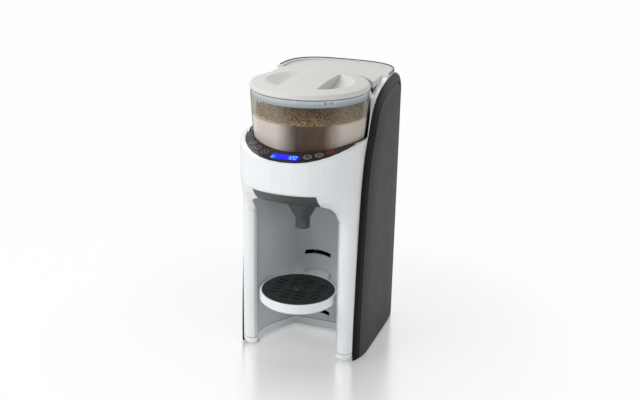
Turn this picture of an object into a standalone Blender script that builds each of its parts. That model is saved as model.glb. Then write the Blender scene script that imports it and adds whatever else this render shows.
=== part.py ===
"""Baby formula maker, as an assembly of separate pieces.

Metres, +Z up, front towards -Y. The powder container's axis is the datum of every piece, so all of
them hang under one empty on that axis, and the empty stands so that the origin is under the middle.
"""
import math

import bmesh
import bpy
from mathutils import Matrix, Vector

# Overall sizes
HEIGHT = 0.4006
BODY_HALF = 0.096
GAP = 0.0003
RUN_GAP = 0.0005
OVERRUN = 0.02
WELD = 1e-6
SLIVER_SIDES = 4

# Radii and half widths about the container's axis, each from the next one out
SIDE_STAND_OUT = 0.0115
SHELL_HALF = BODY_HALF - SIDE_STAND_OUT
LID_INSET = 0.0015
LID_RADIUS = SHELL_HALF - LID_INSET
WELL_CLEARANCE = 0.0006
WELL_RADIUS = LID_RADIUS + WELL_CLEARANCE
WELL_WALL = 0.0039
LID_LAP = 0.0012
CONTAINER_TOP_RADIUS = LID_RADIUS - LID_LAP
CONTAINER_DRAFT = 0.0048
CONTAINER_FOOT_RADIUS = CONTAINER_TOP_RADIUS - CONTAINER_DRAFT
SEAT_INSET = 0.0023
SEAT_RADIUS = WELL_RADIUS - SEAT_INSET
LEDGE_WIDTH = 0.0073
LEDGE_RADIUS = SEAT_RADIUS - LEDGE_WIDTH
TANK_SETBACK = 0.0056
TANK_ARC_RADIUS = WELL_RADIUS + TANK_SETBACK

# Depths from the container's axis
HEAD_STRIP = 0.0234
AXIS_TO_FRONT = WELL_RADIUS + HEAD_STRIP
TANK_ROOM = 0.0868
AXIS_TO_REAR = TANK_ARC_RADIUS + TANK_ROOM
AXIS_Y = (AXIS_TO_FRONT - AXIS_TO_REAR) / 2
CORNER_LENGTH = 0.076
CORNER_START_Y = AXIS_TO_REAR - CORNER_LENGTH
CORNER_POWER = 3.0
CORNER_POINTS = 9
SHOULDER_TO_CORNER = 0.012
SHOULDER_END_Y = CORNER_START_Y - SHOULDER_TO_CORNER

# Heights, from the lid down
LID_CROWN = 0.0056
LID_TOP_Z = HEIGHT - LID_CROWN
EDGE_DROP = 0.004
SWOOSH_TOP_Z = LID_TOP_Z - EDGE_DROP
TANK_LID_DROP = 0.002
TANK_LID_TOP_Z = LID_TOP_Z - TANK_LID_DROP
BAND_DROP = 0.016
CONTAINER_BAND_Z = LID_TOP_Z - BAND_DROP
POWDER_DROP = 0.042
POWDER_TOP_Z = LID_TOP_Z - POWDER_DROP
SEAT_DROP = 0.093
SEAT_Z = LID_TOP_Z - SEAT_DROP
SEAT_RIM_RISE = 0.0105
SEAT_RIM_Z = SEAT_Z + SEAT_RIM_RISE
CROWN_RISE = 0.0235
CROWN_Z = SEAT_Z + CROWN_RISE
ROOF_DROP = 0.012
ROOF_UNDER_Z = SEAT_Z - ROOF_DROP
CHUTE_DROP = 0.0237
CHUTE_END_Z = ROOF_UNDER_Z - CHUTE_DROP
FUNNEL_DROP = 0.0013
FUNNEL_TOP_Z = CHUTE_END_Z - FUNNEL_DROP
FUNNEL_TRAY_DEPTH = 0.0205
BAY_TOP_Z = FUNNEL_TOP_Z - FUNNEL_TRAY_DEPTH
SHELF_DROP = 0.0605
SHELF_Z = BAY_TOP_Z - SHELF_DROP

# White front shell
SHELL_WALL = 0.003
SHELL_REAR_Y = 0.04
HEAD_CENTRE_SETBACK = 0.086
HEAD_CENTRE_Y = HEAD_CENTRE_SETBACK - AXIS_TO_FRONT
HEAD_POWER = 2.3
NOSE_RADIUS = 0.0135
NOSE_Y = -0.036
CREASE_OFFSET = 0.010
UNDERCUT_DROP = 0.0325
UNDERCUT_LOW_Z = BAY_TOP_Z - UNDERCUT_DROP
UNDERCUT_RISE = 0.0235
UNDERCUT_HIGH_Z = BAY_TOP_Z + UNDERCUT_RISE
SEAM_Z = 0.015
CROWN_Y = -0.015
CROWN_RADIUS = 0.270
HEAD_POINTS = 6
NOSE_POINTS = 9
HEAD_SPREAD_SHARE = 0.49
SHELL_LEVEL_SHARES = (0.0, 0.25, 0.5, 0.75, 1.0)

# Edge curve between the white shell and the dark sides, seen from the side
SWOOSH_FOOT_Y = -0.039
SWOOSH_RUN = 0.165
SWOOSH_SHARES = ((0, 0.006), (0.006, 0.14), (0.03, 0.32), (0.064, 0.487), (0.105, 0.655), (0.178, 0.775),
                 (0.25, 0.832), (0.305, 0.882), (0.394, 0.933), (0.521, 0.966), (0.685, 0.986), (1, 1))
SWOOSH_STEPS = 2

# Dark sides: how far the surface stands out, at each depth in from the edge curve
SIDE_INNER = SHELL_HALF + GAP
TRIM_DEPTH = 0.012
SIDE_CROWN_DEPTH = 0.040
SIDE_CROWN_SHARES = ((0, 0), (0.012, 0.16), (0.12, 0.40), (0.30, 0.607), (0.50, 0.84), (0.725, 0.946), (1, 1))
SIDE_WALL = 0.003
SIDE_BOTTOM_Z = 0.0025
POCKET_DEPTH = 0.016
CREST_DROP = 0.026
CREST_INSET = 0.0095
CREST_STEPS = 4
REAR_CORNER_LAP = 0.0395
REAR_OPEN_HALF = SHELL_HALF - REAR_CORNER_LAP

# Bottle bay: half widths and depths of its plan, front to back
LEG_FACE = 0.0235
BAY_CREASE_HALF = SHELL_HALF - LEG_FACE
BAY_CREASE_Y = -0.045
LEG_NECK = 0.0185
BAY_WIDEST_HALF = SHELL_HALF - LEG_NECK
BAY_WIDEST_Y = -0.029
LEG_WAIST = 0.0257
BAY_MIDDLE_HALF = SHELL_HALF - LEG_WAIST
BAY_MIDDLE_Y = 0.0015
LEG_REAR = 0.0495
BAY_REAR_HALF = SHELL_HALF - LEG_REAR
BAY_REAR_Y = 0.044
BAY_TOP_RADIUS = 0.016
BAY_TOP_STEPS = 4
LINER_WALL = 0.0025
LINER_FRONT_GAP = 0.0012
BAY_SIDE_STEPS = 3

# Tray slots in the bay's back wall
SLOT_END_WALL = 0.015
SLOT_HALF = BAY_REAR_HALF - SLOT_END_WALL
SLOT_RISE = 0.004
SLOT_HEIGHT = 0.006
SLOT_LOWEST_Z = 0.0265
SLOT_PITCH = 0.032
SLOT_COUNT = 4
SLOT_CLEARANCE = 0.0005
SLOT_STEPS = 6

# Drip tray, hooked into the third slot from below
TRAY_CLEARANCE = 0.0108
TRAY_RADIUS = BAY_WIDEST_HALF - TRAY_CLEARANCE
TRAY_CENTRE_Y = -0.036
TRAY_SLOT_INDEX = 2
TRAY_TOP_OVER_SLOT = 0.0055
TRAY_TOP_Z = SLOT_LOWEST_Z + SLOT_RISE + SLOT_PITCH * TRAY_SLOT_INDEX + TRAY_TOP_OVER_SLOT
TRAY_DEPTH = 0.015
TRAY_WALL = 0.0022
TRAY_STEP = 0.0028
TRAY_LEDGE = 0.0015
HOOK_LENGTH_BEYOND = 0.006
GRILLE_THICK = 0.0025
GRILLE_SLOT_WIDTH = 0.0032
GRILLE_SLOT_LENGTH = 0.015
GRILLE_ROW_PITCH = 0.0105
GRILLE_COLUMN_PITCH = 0.0205
GRILLE_ROWS = 7
GRILLE_COLUMNS = 4
GRILLE_EDGE = 0.006
GRILLE_BOSS_RADIUS = 0.007
GRILLE_BOSS_HEIGHT = 0.003

# Powder container, its seat and its lid
CONTAINER_WALL = 0.0024
CONTAINER_FLOOR = 0.003
SEAT_WALL = 0.002
SEAT_FLOOR = 0.003
LID_EDGE = 0.003
LID_PLATE = 0.0025
LID_DOME_POINTS = 5
LID_BAR_HALF = 0.027
SCOOP_CENTRE_X = 0.0102
SCOOP_DEPTH = 0.0103
SCOOP_FLATNESS = 0.0283
SCOOP_RADIUS = LID_RADIUS + SCOOP_FLATNESS
SCOOP_POINTS = 7
LID_BAND_THICK = 0.0022
SEAL_THICK = 0.0016
OUTLET_RADIUS = 0.0085
CHUTE_WALL = 0.002

# Stirring, dosing and drive
HUB_RADIUS = 0.008
HUB_HEIGHT = 0.012
WHEEL_GAP = 0.0006
DOSING_INSET = 0.0175
DOSING_RADIUS = CONTAINER_FOOT_RADIUS - DOSING_INSET
DOSING_THICK = 0.007
DOSING_POCKET_RADIUS = 0.0075
DOSING_POCKETS = 8
OUTLET_TO_WHEEL_EDGE = 0.0095
OUTLET_Y = OUTLET_TO_WHEEL_EDGE - DOSING_RADIUS
STIR_ARM_WIDTH = 0.005
STIR_ARM_HEIGHT = 0.006
STIR_ARMS = 5
STIR_INSET = 0.004
STIR_LENGTH = DOSING_RADIUS - STIR_INSET
STIR_SPINDLE_RADIUS = 0.0055
STIR_SPINDLE_HEIGHT = 0.020
POWDER_CLEARANCE = 0.0012
SHAFT_RADIUS = 0.0035
COUPLER_RADIUS = 0.0045
COUPLER_SIDES = 6
GEAR_TEETH = 36
PINION_TEETH = 12
GEAR_TO_OUTLET = 0.023
GEAR_MODULE = 2 * (-OUTLET_Y - GEAR_TO_OUTLET) / GEAR_TEETH
GEAR_WIDTH = 0.006
GEAR_RISE = 0.0015
GEAR_Z = ROOF_UNDER_Z + GEAR_RISE
TOOTH_SHARE = 0.35
TOOTH_TIP_SHARE = 0.11
TOOTH_ROOT_SHARE = 1.25
BACKLASH_SHARE = 0.267
DECK_INSET = 0.0065
DECK_RADIUS = SHELL_HALF - DECK_INSET
DECK_THICK = 0.0033
MOTOR_RADIUS = 0.016
MOTOR_LENGTH = 0.034
MOTOR_SHAFT_RADIUS = 0.002
MOTOR_ANGLE = math.radians(125)

# Control fascia
FASCIA_INSET = 0.0025
FASCIA_HALF = SHELL_HALF - FASCIA_INSET
FASCIA_FRONT = AXIS_TO_FRONT - FASCIA_INSET
FASCIA_THICK = 0.0025
FASCIA_END_Y = -0.034
FASCIA_POWER = 2.25
FASCIA_STEPS = 14
BUTTON_HALF = 0.0056
BUTTON_DEPTH_HALF = 0.0054
BUTTON_PROUD = 0.0006
BUTTON_FLANGE = 0.0007
BUTTON_TRAVEL = 0.0008
BUTTON_SHARES = ((0.366, 0.837), (0.530, 0.764), (0.671, 0.662))
BUTTON_TURN_SHARE = 1.25
BUTTON_STEPS = 16
LCD_HALF = 0.0190
LCD_DEPTH_HALF = 0.0056
LCD_SETBACK = 0.0153
LCD_Y = LCD_SETBACK - AXIS_TO_FRONT
LCD_THICK = 0.0022
BOARD_THICK = 0.0016

# Funnel
FUNNEL_SIDE_GAP = 0.0162
FUNNEL_HALF = BAY_CREASE_HALF - FUNNEL_SIDE_GAP
FUNNEL_BACK_Y = 0.008
FUNNEL_WALL = 0.002
FUNNEL_NOTCH_GAP = 0.0006
FUNNEL_LIP = 0.0026
HOPPER_INSET = 0.0138
HOPPER_HALF = FUNNEL_HALF - HOPPER_INSET
HOPPER_DEPTH_HALF = 0.027
HOPPER_SQUARENESS = 3
SPOUT_Y = -0.022
SPOUT_RADIUS = 0.0102
HOPPER_DROP = 0.0395
SPOUT_TOP_Z = BAY_TOP_Z - HOPPER_DROP
SPOUT_LENGTH = 0.014
SPOUT_END_Z = SPOUT_TOP_Z - SPOUT_LENGTH
FUNNEL_STEPS = 6

# Foot moulding, feet and screws
PLINTH_BOTTOM_Z = 0.0023
PLINTH_FLOOR = 0.003
PLINTH_EDGE_RADIUS = 0.009
PLINTH_EDGE_STEPS = 3
FOOT_RADIUS = 0.0065
FRONT_FOOT_INSET = 0.014
FRONT_FOOT_X = SHELL_HALF - FRONT_FOOT_INSET
FRONT_FOOT_Y = -0.030
REAR_FOOT_INSET = 0.0225
REAR_FOOT_X = SHELL_HALF - REAR_FOOT_INSET
REAR_FOOT_SETBACK = 0.048
REAR_FOOT_Y = AXIS_TO_REAR - REAR_FOOT_SETBACK
SCREW_RADIUS = 0.0015
SCREW_HEAD_RADIUS = 0.0030
SCREW_HEAD = 0.0020
SCREW_LENGTH = 0.014
BOSS_RADIUS = 0.0045
BOSS_HEIGHT = 0.030
BOSS_INSET = 0.0065
FRONT_BOSS_X = SHELL_HALF - BOSS_INSET
FRONT_BOSS_Y = -0.014
POST_INSET = 0.0285
POST_X = SHELL_HALF - POST_INSET
POST_SETBACK = 0.029
POST_Y = AXIS_TO_REAR - POST_SETBACK
POST_RADIUS = 0.0055
COVER_SCREW_INSET = 0.009
COVER_SCREW_X = REAR_OPEN_HALF - COVER_SCREW_INSET
COVER_SCREW_LOW_Z = 0.010
COVER_SCREW_DROP = 0.008
COVER_SCREW_HIGH_Z = SHELF_Z - COVER_SCREW_DROP

# Rear compartment, tank shelf and rear cover; the depths count from the corner's start
SHELF_THICK = 0.003
SHELF_FRONT_Y = 0.055
SHELF_HALF = SHELL_HALF - GAP
COVER_THICK = 0.003
COVER_BOTTOM_Z = 0.0035
COVER_SINK = 0.002
COVER_DEPTH = CORNER_LENGTH - COVER_SINK
COVER_CLEARANCE = 0.001
PLINTH_REAR_DEPTH = COVER_DEPTH - COVER_THICK - COVER_CLEARANCE
SHELF_DEPTH = PLINTH_REAR_DEPTH - RUN_GAP
FLANGE_HEIGHT = 0.016
GLAND_INSET = 0.020
GLAND_X = REAR_OPEN_HALF - GLAND_INSET
GLAND_Z = 0.030
GLAND_RADIUS = 0.0075
GLAND_BORE = 0.0036
GLAND_FLANGE_RADIUS = 0.0105
GLAND_LENGTH = 0.014
SOCKET_RADIUS = 0.010
SOCKET_FLANGE_RADIUS = 0.014
SOCKET_FLANGE = 0.0016
SOCKET_LENGTH = 0.012
SOCKET_BORE = 0.006
SOCKET_PIN_RADIUS = 0.0012

# Water tank
SHOULDER_INSET = 0.008
SHOULDER_HALF = SHELL_HALF - SHOULDER_INSET
TANK_CLEARANCE = 0.001
TANK_HALF = SHOULDER_HALF - TANK_CLEARANCE
TANK_DEPTH_CLEARANCE = 0.0015
TANK_DEPTH = SHELF_DEPTH - TANK_DEPTH_CLEARANCE
TANK_WALL = 0.0022
TANK_FLOOR = 0.003
TANK_STAND = 0.0025
TANK_BOTTOM_Z = SHELF_Z + SHELF_THICK + TANK_STAND
TANK_NOSE = 0.038
TANK_FRONT_Y = SHOULDER_END_Y - TANK_NOSE
TANK_LID_THICK = 0.0088
LID_PLATE_Z = TANK_LID_TOP_Z - TANK_LID_THICK
TANK_TOP_Z = LID_PLATE_Z - GAP
BULGE_CLEARANCE = 0.0008
BULGE_HALF = REAR_OPEN_HALF - BULGE_CLEARANCE
BULGE_DEPTH = COVER_DEPTH - RUN_GAP
TANK_LID_DEPTH = BULGE_DEPTH
TANK_LID_PLATE = 0.0025
TANK_LID_RIM = 0.007
TANK_LID_SINK = 0.0022
HINGE_SETBACK = 0.0032
HINGE_Y = AXIS_TO_REAR - HINGE_SETBACK
HINGE_DROP = 0.0095
HINGE_Z = TANK_LID_TOP_Z - HINGE_DROP
KNUCKLE_RADIUS = 0.0028
KNUCKLE_INNER = 0.015
KNUCKLE_OUTER = 0.028
PIN_RADIUS = 0.0012
VALVE_SETBACK = 0.051
VALVE_Y = AXIS_TO_REAR - VALVE_SETBACK
VALVE_HOLE_RADIUS = 0.0060
VALVE_DISC_RADIUS = 0.0085
VALVE_DISC = 0.0022
VALVE_STEM_RADIUS = 0.0018
VALVE_STEM_RISE = 0.016
CAGE_HEIGHT = 0.014
CAGE_HALF = 0.012
CAGE_WIDTH = 0.008
CAGE_THICK = 0.003
SPRING_RADIUS = 0.0042
SPRING_WIRE = 0.0005
SPRING_TURNS = 5
SPRING_POINTS = 9

# Water path and electrics
PLINTH_FLOOR_Z = PLINTH_BOTTOM_Z + PLINTH_FLOOR
MACHINERY_Z = PLINTH_FLOOR_Z + GAP
PUMP_INSET = 0.0395
PUMP_X = PUMP_INSET - SHELL_HALF
PUMP_SETBACK = 0.071
PUMP_Y = AXIS_TO_REAR - PUMP_SETBACK
PUMP_HALF = 0.020
PUMP_LENGTH_HALF = 0.026
PUMP_HEIGHT = 0.036
PUMP_MOTOR_RADIUS = 0.015
PUMP_MOTOR_LENGTH = 0.028
PORT_RADIUS = 0.0030
PORT_LENGTH = 0.008
BOILER_INSET = 0.0305
BOILER_X = SHELL_HALF - BOILER_INSET
BOILER_SETBACK = 0.076
BOILER_Y = AXIS_TO_REAR - BOILER_SETBACK
BOILER_RADIUS = 0.017
BOILER_TO_SHELF = 0.0684
BOILER_HEIGHT = SHELF_Z - BOILER_TO_SHELF - MACHINERY_Z
BOILER_FOOT_RADIUS = 0.022
BOILER_FOOT = 0.004
TUBE_RADIUS = 0.0035
ROUTE_STEPS = 3
NOZZLE_X = 0.024
NOZZLE_Y = -0.014
NOZZLE_RADIUS = 0.0045
NOZZLE_TIP_RADIUS = 0.002
NOZZLE_RISE = 0.0015
NOZZLE_END_Z = FUNNEL_TOP_Z + NOZZLE_RISE
NOZZLE_TIP = 0.004
BOARD_Y = 0.062
BOARD_LENGTH = 0.055
BOARD_HEIGHT = 0.095
BOARD_X = 0.002
PART_SIZE = 0.014
PART_PITCH = 0.018
PARTS_ON_BOARD = 3

STEPS_LARGE = 48
STEPS_MEDIUM = 24
STEPS_SMALL = 12
SMOOTH_ANGLE = math.radians(35)

# Colour, roughness, metallic, opacity
FINISHES = {
    "white_gloss": ((0.80, 0.83, 0.85), 0.28, 0.0, 1.0),
    "white_satin": ((0.72, 0.72, 0.69), 0.42, 0.0, 1.0),
    "graphite": ((0.070, 0.070, 0.068), 0.50, 0.0, 1.0),
    "black_gloss": ((0.010, 0.010, 0.011), 0.12, 0.0, 1.0),
    "funnel_grey": ((0.060, 0.063, 0.064), 0.45, 0.0, 1.0),
    "black_satin": ((0.020, 0.021, 0.022), 0.45, 0.0, 1.0),
    "display_blue": ((0.010, 0.012, 0.75), 0.15, 0.0, 1.0),
    "clear": ((0.85, 0.86, 0.86), 0.06, 0.0, 0.25),
    "smoke": ((0.12, 0.13, 0.14), 0.10, 0.0, 0.55),
    "band_blue": ((0.43, 0.50, 0.54), 0.30, 0.0, 1.0),
    "powder": ((0.62, 0.50, 0.36), 0.90, 0.0, 1.0),
    "rubber": ((0.025, 0.025, 0.025), 0.80, 0.0, 1.0),
    "acetal": ((0.78, 0.78, 0.75), 0.40, 0.0, 1.0),
    "steel": ((0.56, 0.57, 0.58), 0.25, 1.0, 1.0),
    "board_green": ((0.020, 0.120, 0.050), 0.50, 0.0, 1.0),
    "grey_plastic": ((0.25, 0.26, 0.27), 0.50, 0.0, 1.0),
    "silicone": ((0.70, 0.70, 0.68), 0.35, 0.0, 1.0),
}


# Materials and placing

def finish_of(name):
    """The Principled material of one finish, made once."""
    found = bpy.data.materials.get(name)
    if found:
        return found
    colour, roughness, metallic, opacity = FINISHES[name]
    made = bpy.data.materials.new(name)
    made.use_nodes = True
    shader = made.node_tree.nodes["Principled BSDF"]
    shader.inputs["Base Color"].default_value = (*colour, 1)
    shader.inputs["Roughness"].default_value = roughness
    shader.inputs["Metallic"].default_value = metallic
    shader.inputs["Alpha"].default_value = opacity
    made.diffuse_color = (*colour, opacity)
    return made


def place(obj, name, finish, datum, origin=(0, 0, 0)):
    """Name a piece, give it its own material, hang it under the datum and set its origin."""
    obj.name = name
    obj.data.name = name
    obj.data.materials.clear()
    own = finish_of(finish).copy()
    own.name = name + "_" + finish
    obj.data.materials.append(own)
    obj.data.transform(Matrix.Translation(-Vector(origin)))
    obj.parent = datum
    obj.location = origin
    obj.data.shade_smooth()
    obj.data.set_sharp_from_angle(angle=SMOOTH_ANGLE)
    return obj


# Solid building

def solid(vertices, faces):
    """An object from points and faces, welded, with its faces pointing out."""
    mesh = bpy.data.meshes.new("work")
    mesh.from_pydata(vertices, [], faces)
    shape = bmesh.new()
    shape.from_mesh(mesh)
    bmesh.ops.remove_doubles(shape, verts=shape.verts, dist=WELD)
    bmesh.ops.recalc_face_normals(shape, faces=shape.faces)
    shape.to_mesh(mesh)
    shape.free()
    obj = bpy.data.objects.new("work", mesh)
    bpy.context.scene.collection.objects.link(obj)
    return obj


def loft(rings):
    """Join rings of equal count into one closed solid with flat ends."""
    count = len(rings[0])
    vertices = [point for ring in rings for point in ring]
    faces = [tuple(range(count)), tuple(range(len(vertices) - count, len(vertices)))]
    for row in range(len(rings) - 1):
        for k in range(count):
            low = row * count
            faces.append((low + k, low + (k + 1) % count, low + count + (k + 1) % count, low + count + k))
    return solid(vertices, faces)


def prism(outline, low, high, axis="Z"):
    """Push a flat outline between two places along one axis."""
    def at(point, level):
        a, b = point
        return {"Z": (a, b, level), "X": (level, a, b), "Y": (a, level, b)}[axis]
    return loft([[at(point, level) for point in outline] for level in (low, high)])


def turned(profile, centre=(0, 0), steps=STEPS_LARGE):
    """Turn a closed profile of (radius, height) points about an upright axis."""
    rings = []
    for k in range(steps):
        angle = 2 * math.pi * k / steps
        across, along = math.cos(angle), math.sin(angle)
        rings.append([(centre[0] + r * across, centre[1] + r * along, z) for r, z in profile])
    count = len(profile)
    vertices = [point for ring in rings for point in ring]
    faces = []
    for k in range(steps):
        here, there = k * count, (k + 1) % steps * count
        for j in range(count):
            following = (j + 1) % count
            corners = (here + j, here + following, there + following, there + j)
            if profile[j][0] == 0 and profile[following][0] == 0:
                continue
            if profile[j][0] == 0:
                corners = corners[:3]
            elif profile[following][0] == 0:
                corners = (corners[0], corners[1], corners[3])
            faces.append(corners)
    return solid(vertices, faces)


def rod(radius, low, high, centre=(0, 0), steps=STEPS_SMALL):
    """An upright round bar."""
    return turned([(0, low), (radius, low), (radius, high), (0, high)], centre, steps)


def bar(radius, low, high, centre, axis, steps=STEPS_SMALL):
    """A round bar along X or Y; its centre gives the other two places in order."""
    return prism(circle(radius, steps, centre), low, high, axis)


def sleeve(outer, inner, low, high, centre=(0, 0), steps=STEPS_MEDIUM):
    """An upright round tube."""
    return turned([(inner, low), (outer, low), (outer, high), (inner, high)], centre, steps)


def block(x, y, z):
    """A box between pairs of limits."""
    return prism([(x[0], y[0]), (x[1], y[0]), (x[1], y[1]), (x[0], y[1])], z[0], z[1])


def combine(target, others, operation):
    """Apply a Boolean with each of the other solids in turn, which are used up."""
    for other in others:
        step = target.modifiers.new("step", "BOOLEAN")
        step.operation = operation
        step.solver = "EXACT"
        step.object = other
        bpy.context.view_layer.update()
        result = bpy.data.meshes.new_from_object(target.evaluated_get(bpy.context.evaluated_depsgraph_get()))
        target.modifiers.remove(step)
        target.data = result
        bpy.data.objects.remove(other, do_unlink=True)
        tidy(target)
    return target


def union(target, *others):
    return combine(target, others, "UNION")


def cut(target, *others):
    return combine(target, others, "DIFFERENCE")


def common(target, *others):
    return combine(target, others, "INTERSECT")


def mirrored(obj):
    """The same solid on the other side, faces still pointing out."""
    mesh = obj.data.copy()
    mesh.transform(Matrix.Diagonal((-1, 1, 1, 1)))
    mesh.flip_normals()
    twin = bpy.data.objects.new("work", mesh)
    bpy.context.scene.collection.objects.link(twin)
    return twin


def tidy(obj, distance=WELD):
    """Weld the crumbs that a Boolean leaves, and put back a sliver face that it dropped."""
    shape = bmesh.new()
    shape.from_mesh(obj.data)
    bmesh.ops.remove_doubles(shape, verts=shape.verts, dist=distance)
    bmesh.ops.dissolve_degenerate(shape, edges=shape.edges, dist=distance)
    rims = [edge for edge in shape.edges if len(edge.link_faces) == 1]
    bmesh.ops.holes_fill(shape, edges=rims, sides=SLIVER_SIDES)
    shape.to_mesh(obj.data)
    shape.free()
    return obj


# Outlines

def circle(radius, steps, centre=(0, 0), turn=0.0):
    angles = [turn + 2 * math.pi * k / steps for k in range(steps)]
    return [(centre[0] + radius * math.cos(a), centre[1] + radius * math.sin(a)) for a in angles]


def both_sides(half):
    """A closed outline from its right half, which runs front to back."""
    left = [(-x, y) for x, y in reversed(half) if x > WELD]
    return half + left


def smooth_curve(points, steps):
    """A curve through points, with a number of steps between each two."""
    points = [Vector(p) for p in points]
    ends = [points[0] * 2 - points[1]] + points + [points[-1] * 2 - points[-2]]
    found = []
    for before, here, there, after in zip(ends, ends[1:], ends[2:], ends[3:]):
        for k in range(steps):
            t = k / steps
            pull = (here * 2 + (there - before) * t + (before * 2 - here * 5 + there * 4 - after) * t * t
                    + (here * 3 - before - there * 3 + after) * t ** 3)
            found.append(pull / 2)
    return found + [points[-1]]


def grown(outline, distance):
    """An outline (anticlockwise) moved out by a distance, or in where it is negative."""
    points = [Vector(p) for p in outline]
    moved = []
    for k, here in enumerate(points):
        first = (here - points[k - 1]).normalized()
        second = (points[(k + 1) % len(points)] - here).normalized()
        a, b = Vector((first.y, -first.x)), Vector((second.y, -second.x))
        bisector = (a + b).normalized()
        moved.append(here + bisector * (distance / max(bisector.dot(a), 1 / 2)))
    return [tuple(p) for p in moved]


def ease(value):
    value = min(max(value, 0), 1)
    return value * value * (3 - 2 * value)


def rear_corner(half, depth, points=CORNER_POINTS):
    """Right half of the rounded rear plan, from the side to the middle of the back."""
    found = []
    for k in range(points + 1):
        angle = math.pi / 2 * k / points
        x = half * math.cos(angle) ** (2 / CORNER_POWER)
        y = CORNER_START_Y + depth * math.sin(angle) ** (2 / CORNER_POWER)
        found.append((x if k < points else 0, y))
    return found


def rear_y(x, half, depth):
    """Where the rounded rear plan lies at a place across."""
    return CORNER_START_Y + depth * (1 - (x / half) ** CORNER_POWER) ** (1 / CORNER_POWER)


CREASE_ANGLE = -math.asin(CREASE_OFFSET / NOSE_RADIUS)
NOSE_X = SHELL_HALF - NOSE_RADIUS
HEAD_DEPTH = AXIS_TO_FRONT + HEAD_CENTRE_Y


def shell_half(z, inset=0.0):
    """Right half of the front shell's plan at a height, from the middle of the front to the side."""
    blend = ease((z - UNDERCUT_LOW_Z) / (UNDERCUT_HIGH_Z - UNDERCUT_LOW_Z)) * 1 / 2
    blend += min(max((z - UNDERCUT_LOW_Z) / (UNDERCUT_HIGH_Z - UNDERCUT_LOW_Z), 0), 1) * 1 / 2
    radius = NOSE_RADIUS - inset
    crease = (NOSE_X + radius * math.sin(CREASE_ANGLE), NOSE_Y - radius * math.cos(CREASE_ANGLE))
    found = []
    total = HEAD_POINTS + NOSE_POINTS
    for k in range(total + 1):
        if k < HEAD_POINTS:
            leg = (crease[0] * k / HEAD_POINTS, crease[1])
            turn = math.pi / 2 * HEAD_SPREAD_SHARE * k / HEAD_POINTS
        else:
            share = (k - HEAD_POINTS) / NOSE_POINTS
            angle = CREASE_ANGLE + (math.pi / 2 - CREASE_ANGLE) * share
            leg = (NOSE_X + radius * math.sin(angle), NOSE_Y - radius * math.cos(angle))
            turn = math.pi / 2 * (HEAD_SPREAD_SHARE + (1 - HEAD_SPREAD_SHARE) * share)
        head = ((SHELL_HALF - inset) * math.sin(turn) ** (2 / HEAD_POWER),
                HEAD_CENTRE_Y - (HEAD_DEPTH - inset) * max(math.cos(turn), 0) ** (2 / HEAD_POWER))
        found.append((leg[0] + (head[0] - leg[0]) * blend, leg[1] + (head[1] - leg[1]) * blend))
    return found


def shell_ring(z, rear, inset=0.0):
    half = shell_half(z, inset) + [(SHELL_HALF - inset, rear)]
    return [(x, y, z) for x, y in both_sides(half)]


def front_y(x, z, inset=0.0):
    """Where the front shell's face lies at a place across and a height, straight between its levels."""
    levels = shell_levels()
    row = 1
    while row < len(levels) - 1 and levels[row] < z:
        row += 1
    below, above = levels[row - 1], levels[row]
    share = min(max((z - below) / (above - below), 0), 1)
    found = [outline_y(shell_half(level, inset), x) for level in (below, above)]
    return found[0] + (found[1] - found[0]) * share


def outline_y(half, x):
    for (xa, ya), (xb, yb) in zip(half, half[1:]):
        if xa <= x <= xb and xb > xa:
            return ya + (yb - ya) * (x - xa) / (xb - xa)
    return half[-1][1]


def crown_z(y):
    """Height of the head's top surface at a depth."""
    return CROWN_Z - CROWN_RADIUS + math.sqrt(CROWN_RADIUS ** 2 - min(y - CROWN_Y, 0) ** 2)


def shell_levels():
    rise = UNDERCUT_HIGH_Z - UNDERCUT_LOW_Z
    return [SEAM_Z + GAP / 2] + [UNDERCUT_LOW_Z + rise * share for share in SHELL_LEVEL_SHARES]


def swoosh(inset=0.0):
    """The edge curve from the foot to the top, as (y, z) points, moved in by a distance."""
    run = [(SWOOSH_FOOT_Y + a * SWOOSH_RUN, b * SWOOSH_TOP_Z) for a, b in SWOOSH_SHARES]
    curve = smooth_curve(run, SWOOSH_STEPS)
    moved = []
    for k, here in enumerate(curve):
        before, after = curve[max(k - 1, 0)], curve[min(k + 1, len(curve) - 1)]
        along = (after - before).normalized()
        moved.append((here.x + along.y * inset, here.y - along.x * inset))
    return moved


def side_outline(inset, bottom, rear):
    """Closed (y, z) outline of a dark side, its edge moved in."""
    curve = swoosh(inset)
    curve[0] = (curve[0][0], bottom)
    return curve + [(rear, curve[-1][1]), (rear, bottom)]


def bay_half():
    """Right half of the bottle bay's plan, from its front edge to the middle of its back wall."""
    side = smooth_curve([(BAY_CREASE_HALF, BAY_CREASE_Y), (BAY_WIDEST_HALF, BAY_WIDEST_Y),
                         (BAY_MIDDLE_HALF, BAY_MIDDLE_Y), (BAY_REAR_HALF, BAY_REAR_Y)], BAY_SIDE_STEPS)
    return [tuple(p) for p in side]


def bay_ring(z, grow, reach):
    """The bay's plan at a height, grown, with its open front reaching to a depth."""
    rise = max(z - grow - (BAY_TOP_Z - BAY_TOP_RADIUS), 0)
    draw = BAY_TOP_RADIUS - math.sqrt(max(BAY_TOP_RADIUS ** 2 - min(rise, BAY_TOP_RADIUS) ** 2, 0))
    half = [(BAY_CREASE_HALF, reach)] + bay_half()
    outline = grown(both_sides(half), grow - draw)
    return [(x, y, z) for x, y in outline]


def bay_solid(grow, low, reach):
    """The bay's space, or the block around it, up to its ceiling."""
    rise = [BAY_TOP_RADIUS * math.sin(math.pi / 2 * k / BAY_TOP_STEPS) for k in range(BAY_TOP_STEPS + 1)]
    levels = [low] + [BAY_TOP_Z - BAY_TOP_RADIUS + grow + step for step in rise]
    return loft([bay_ring(z, grow, reach) for z in levels])


# Pieces of the housing

def well_cutter(radius, low):
    return rod(radius, low, HEIGHT + OVERRUN, steps=STEPS_LARGE)


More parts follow.
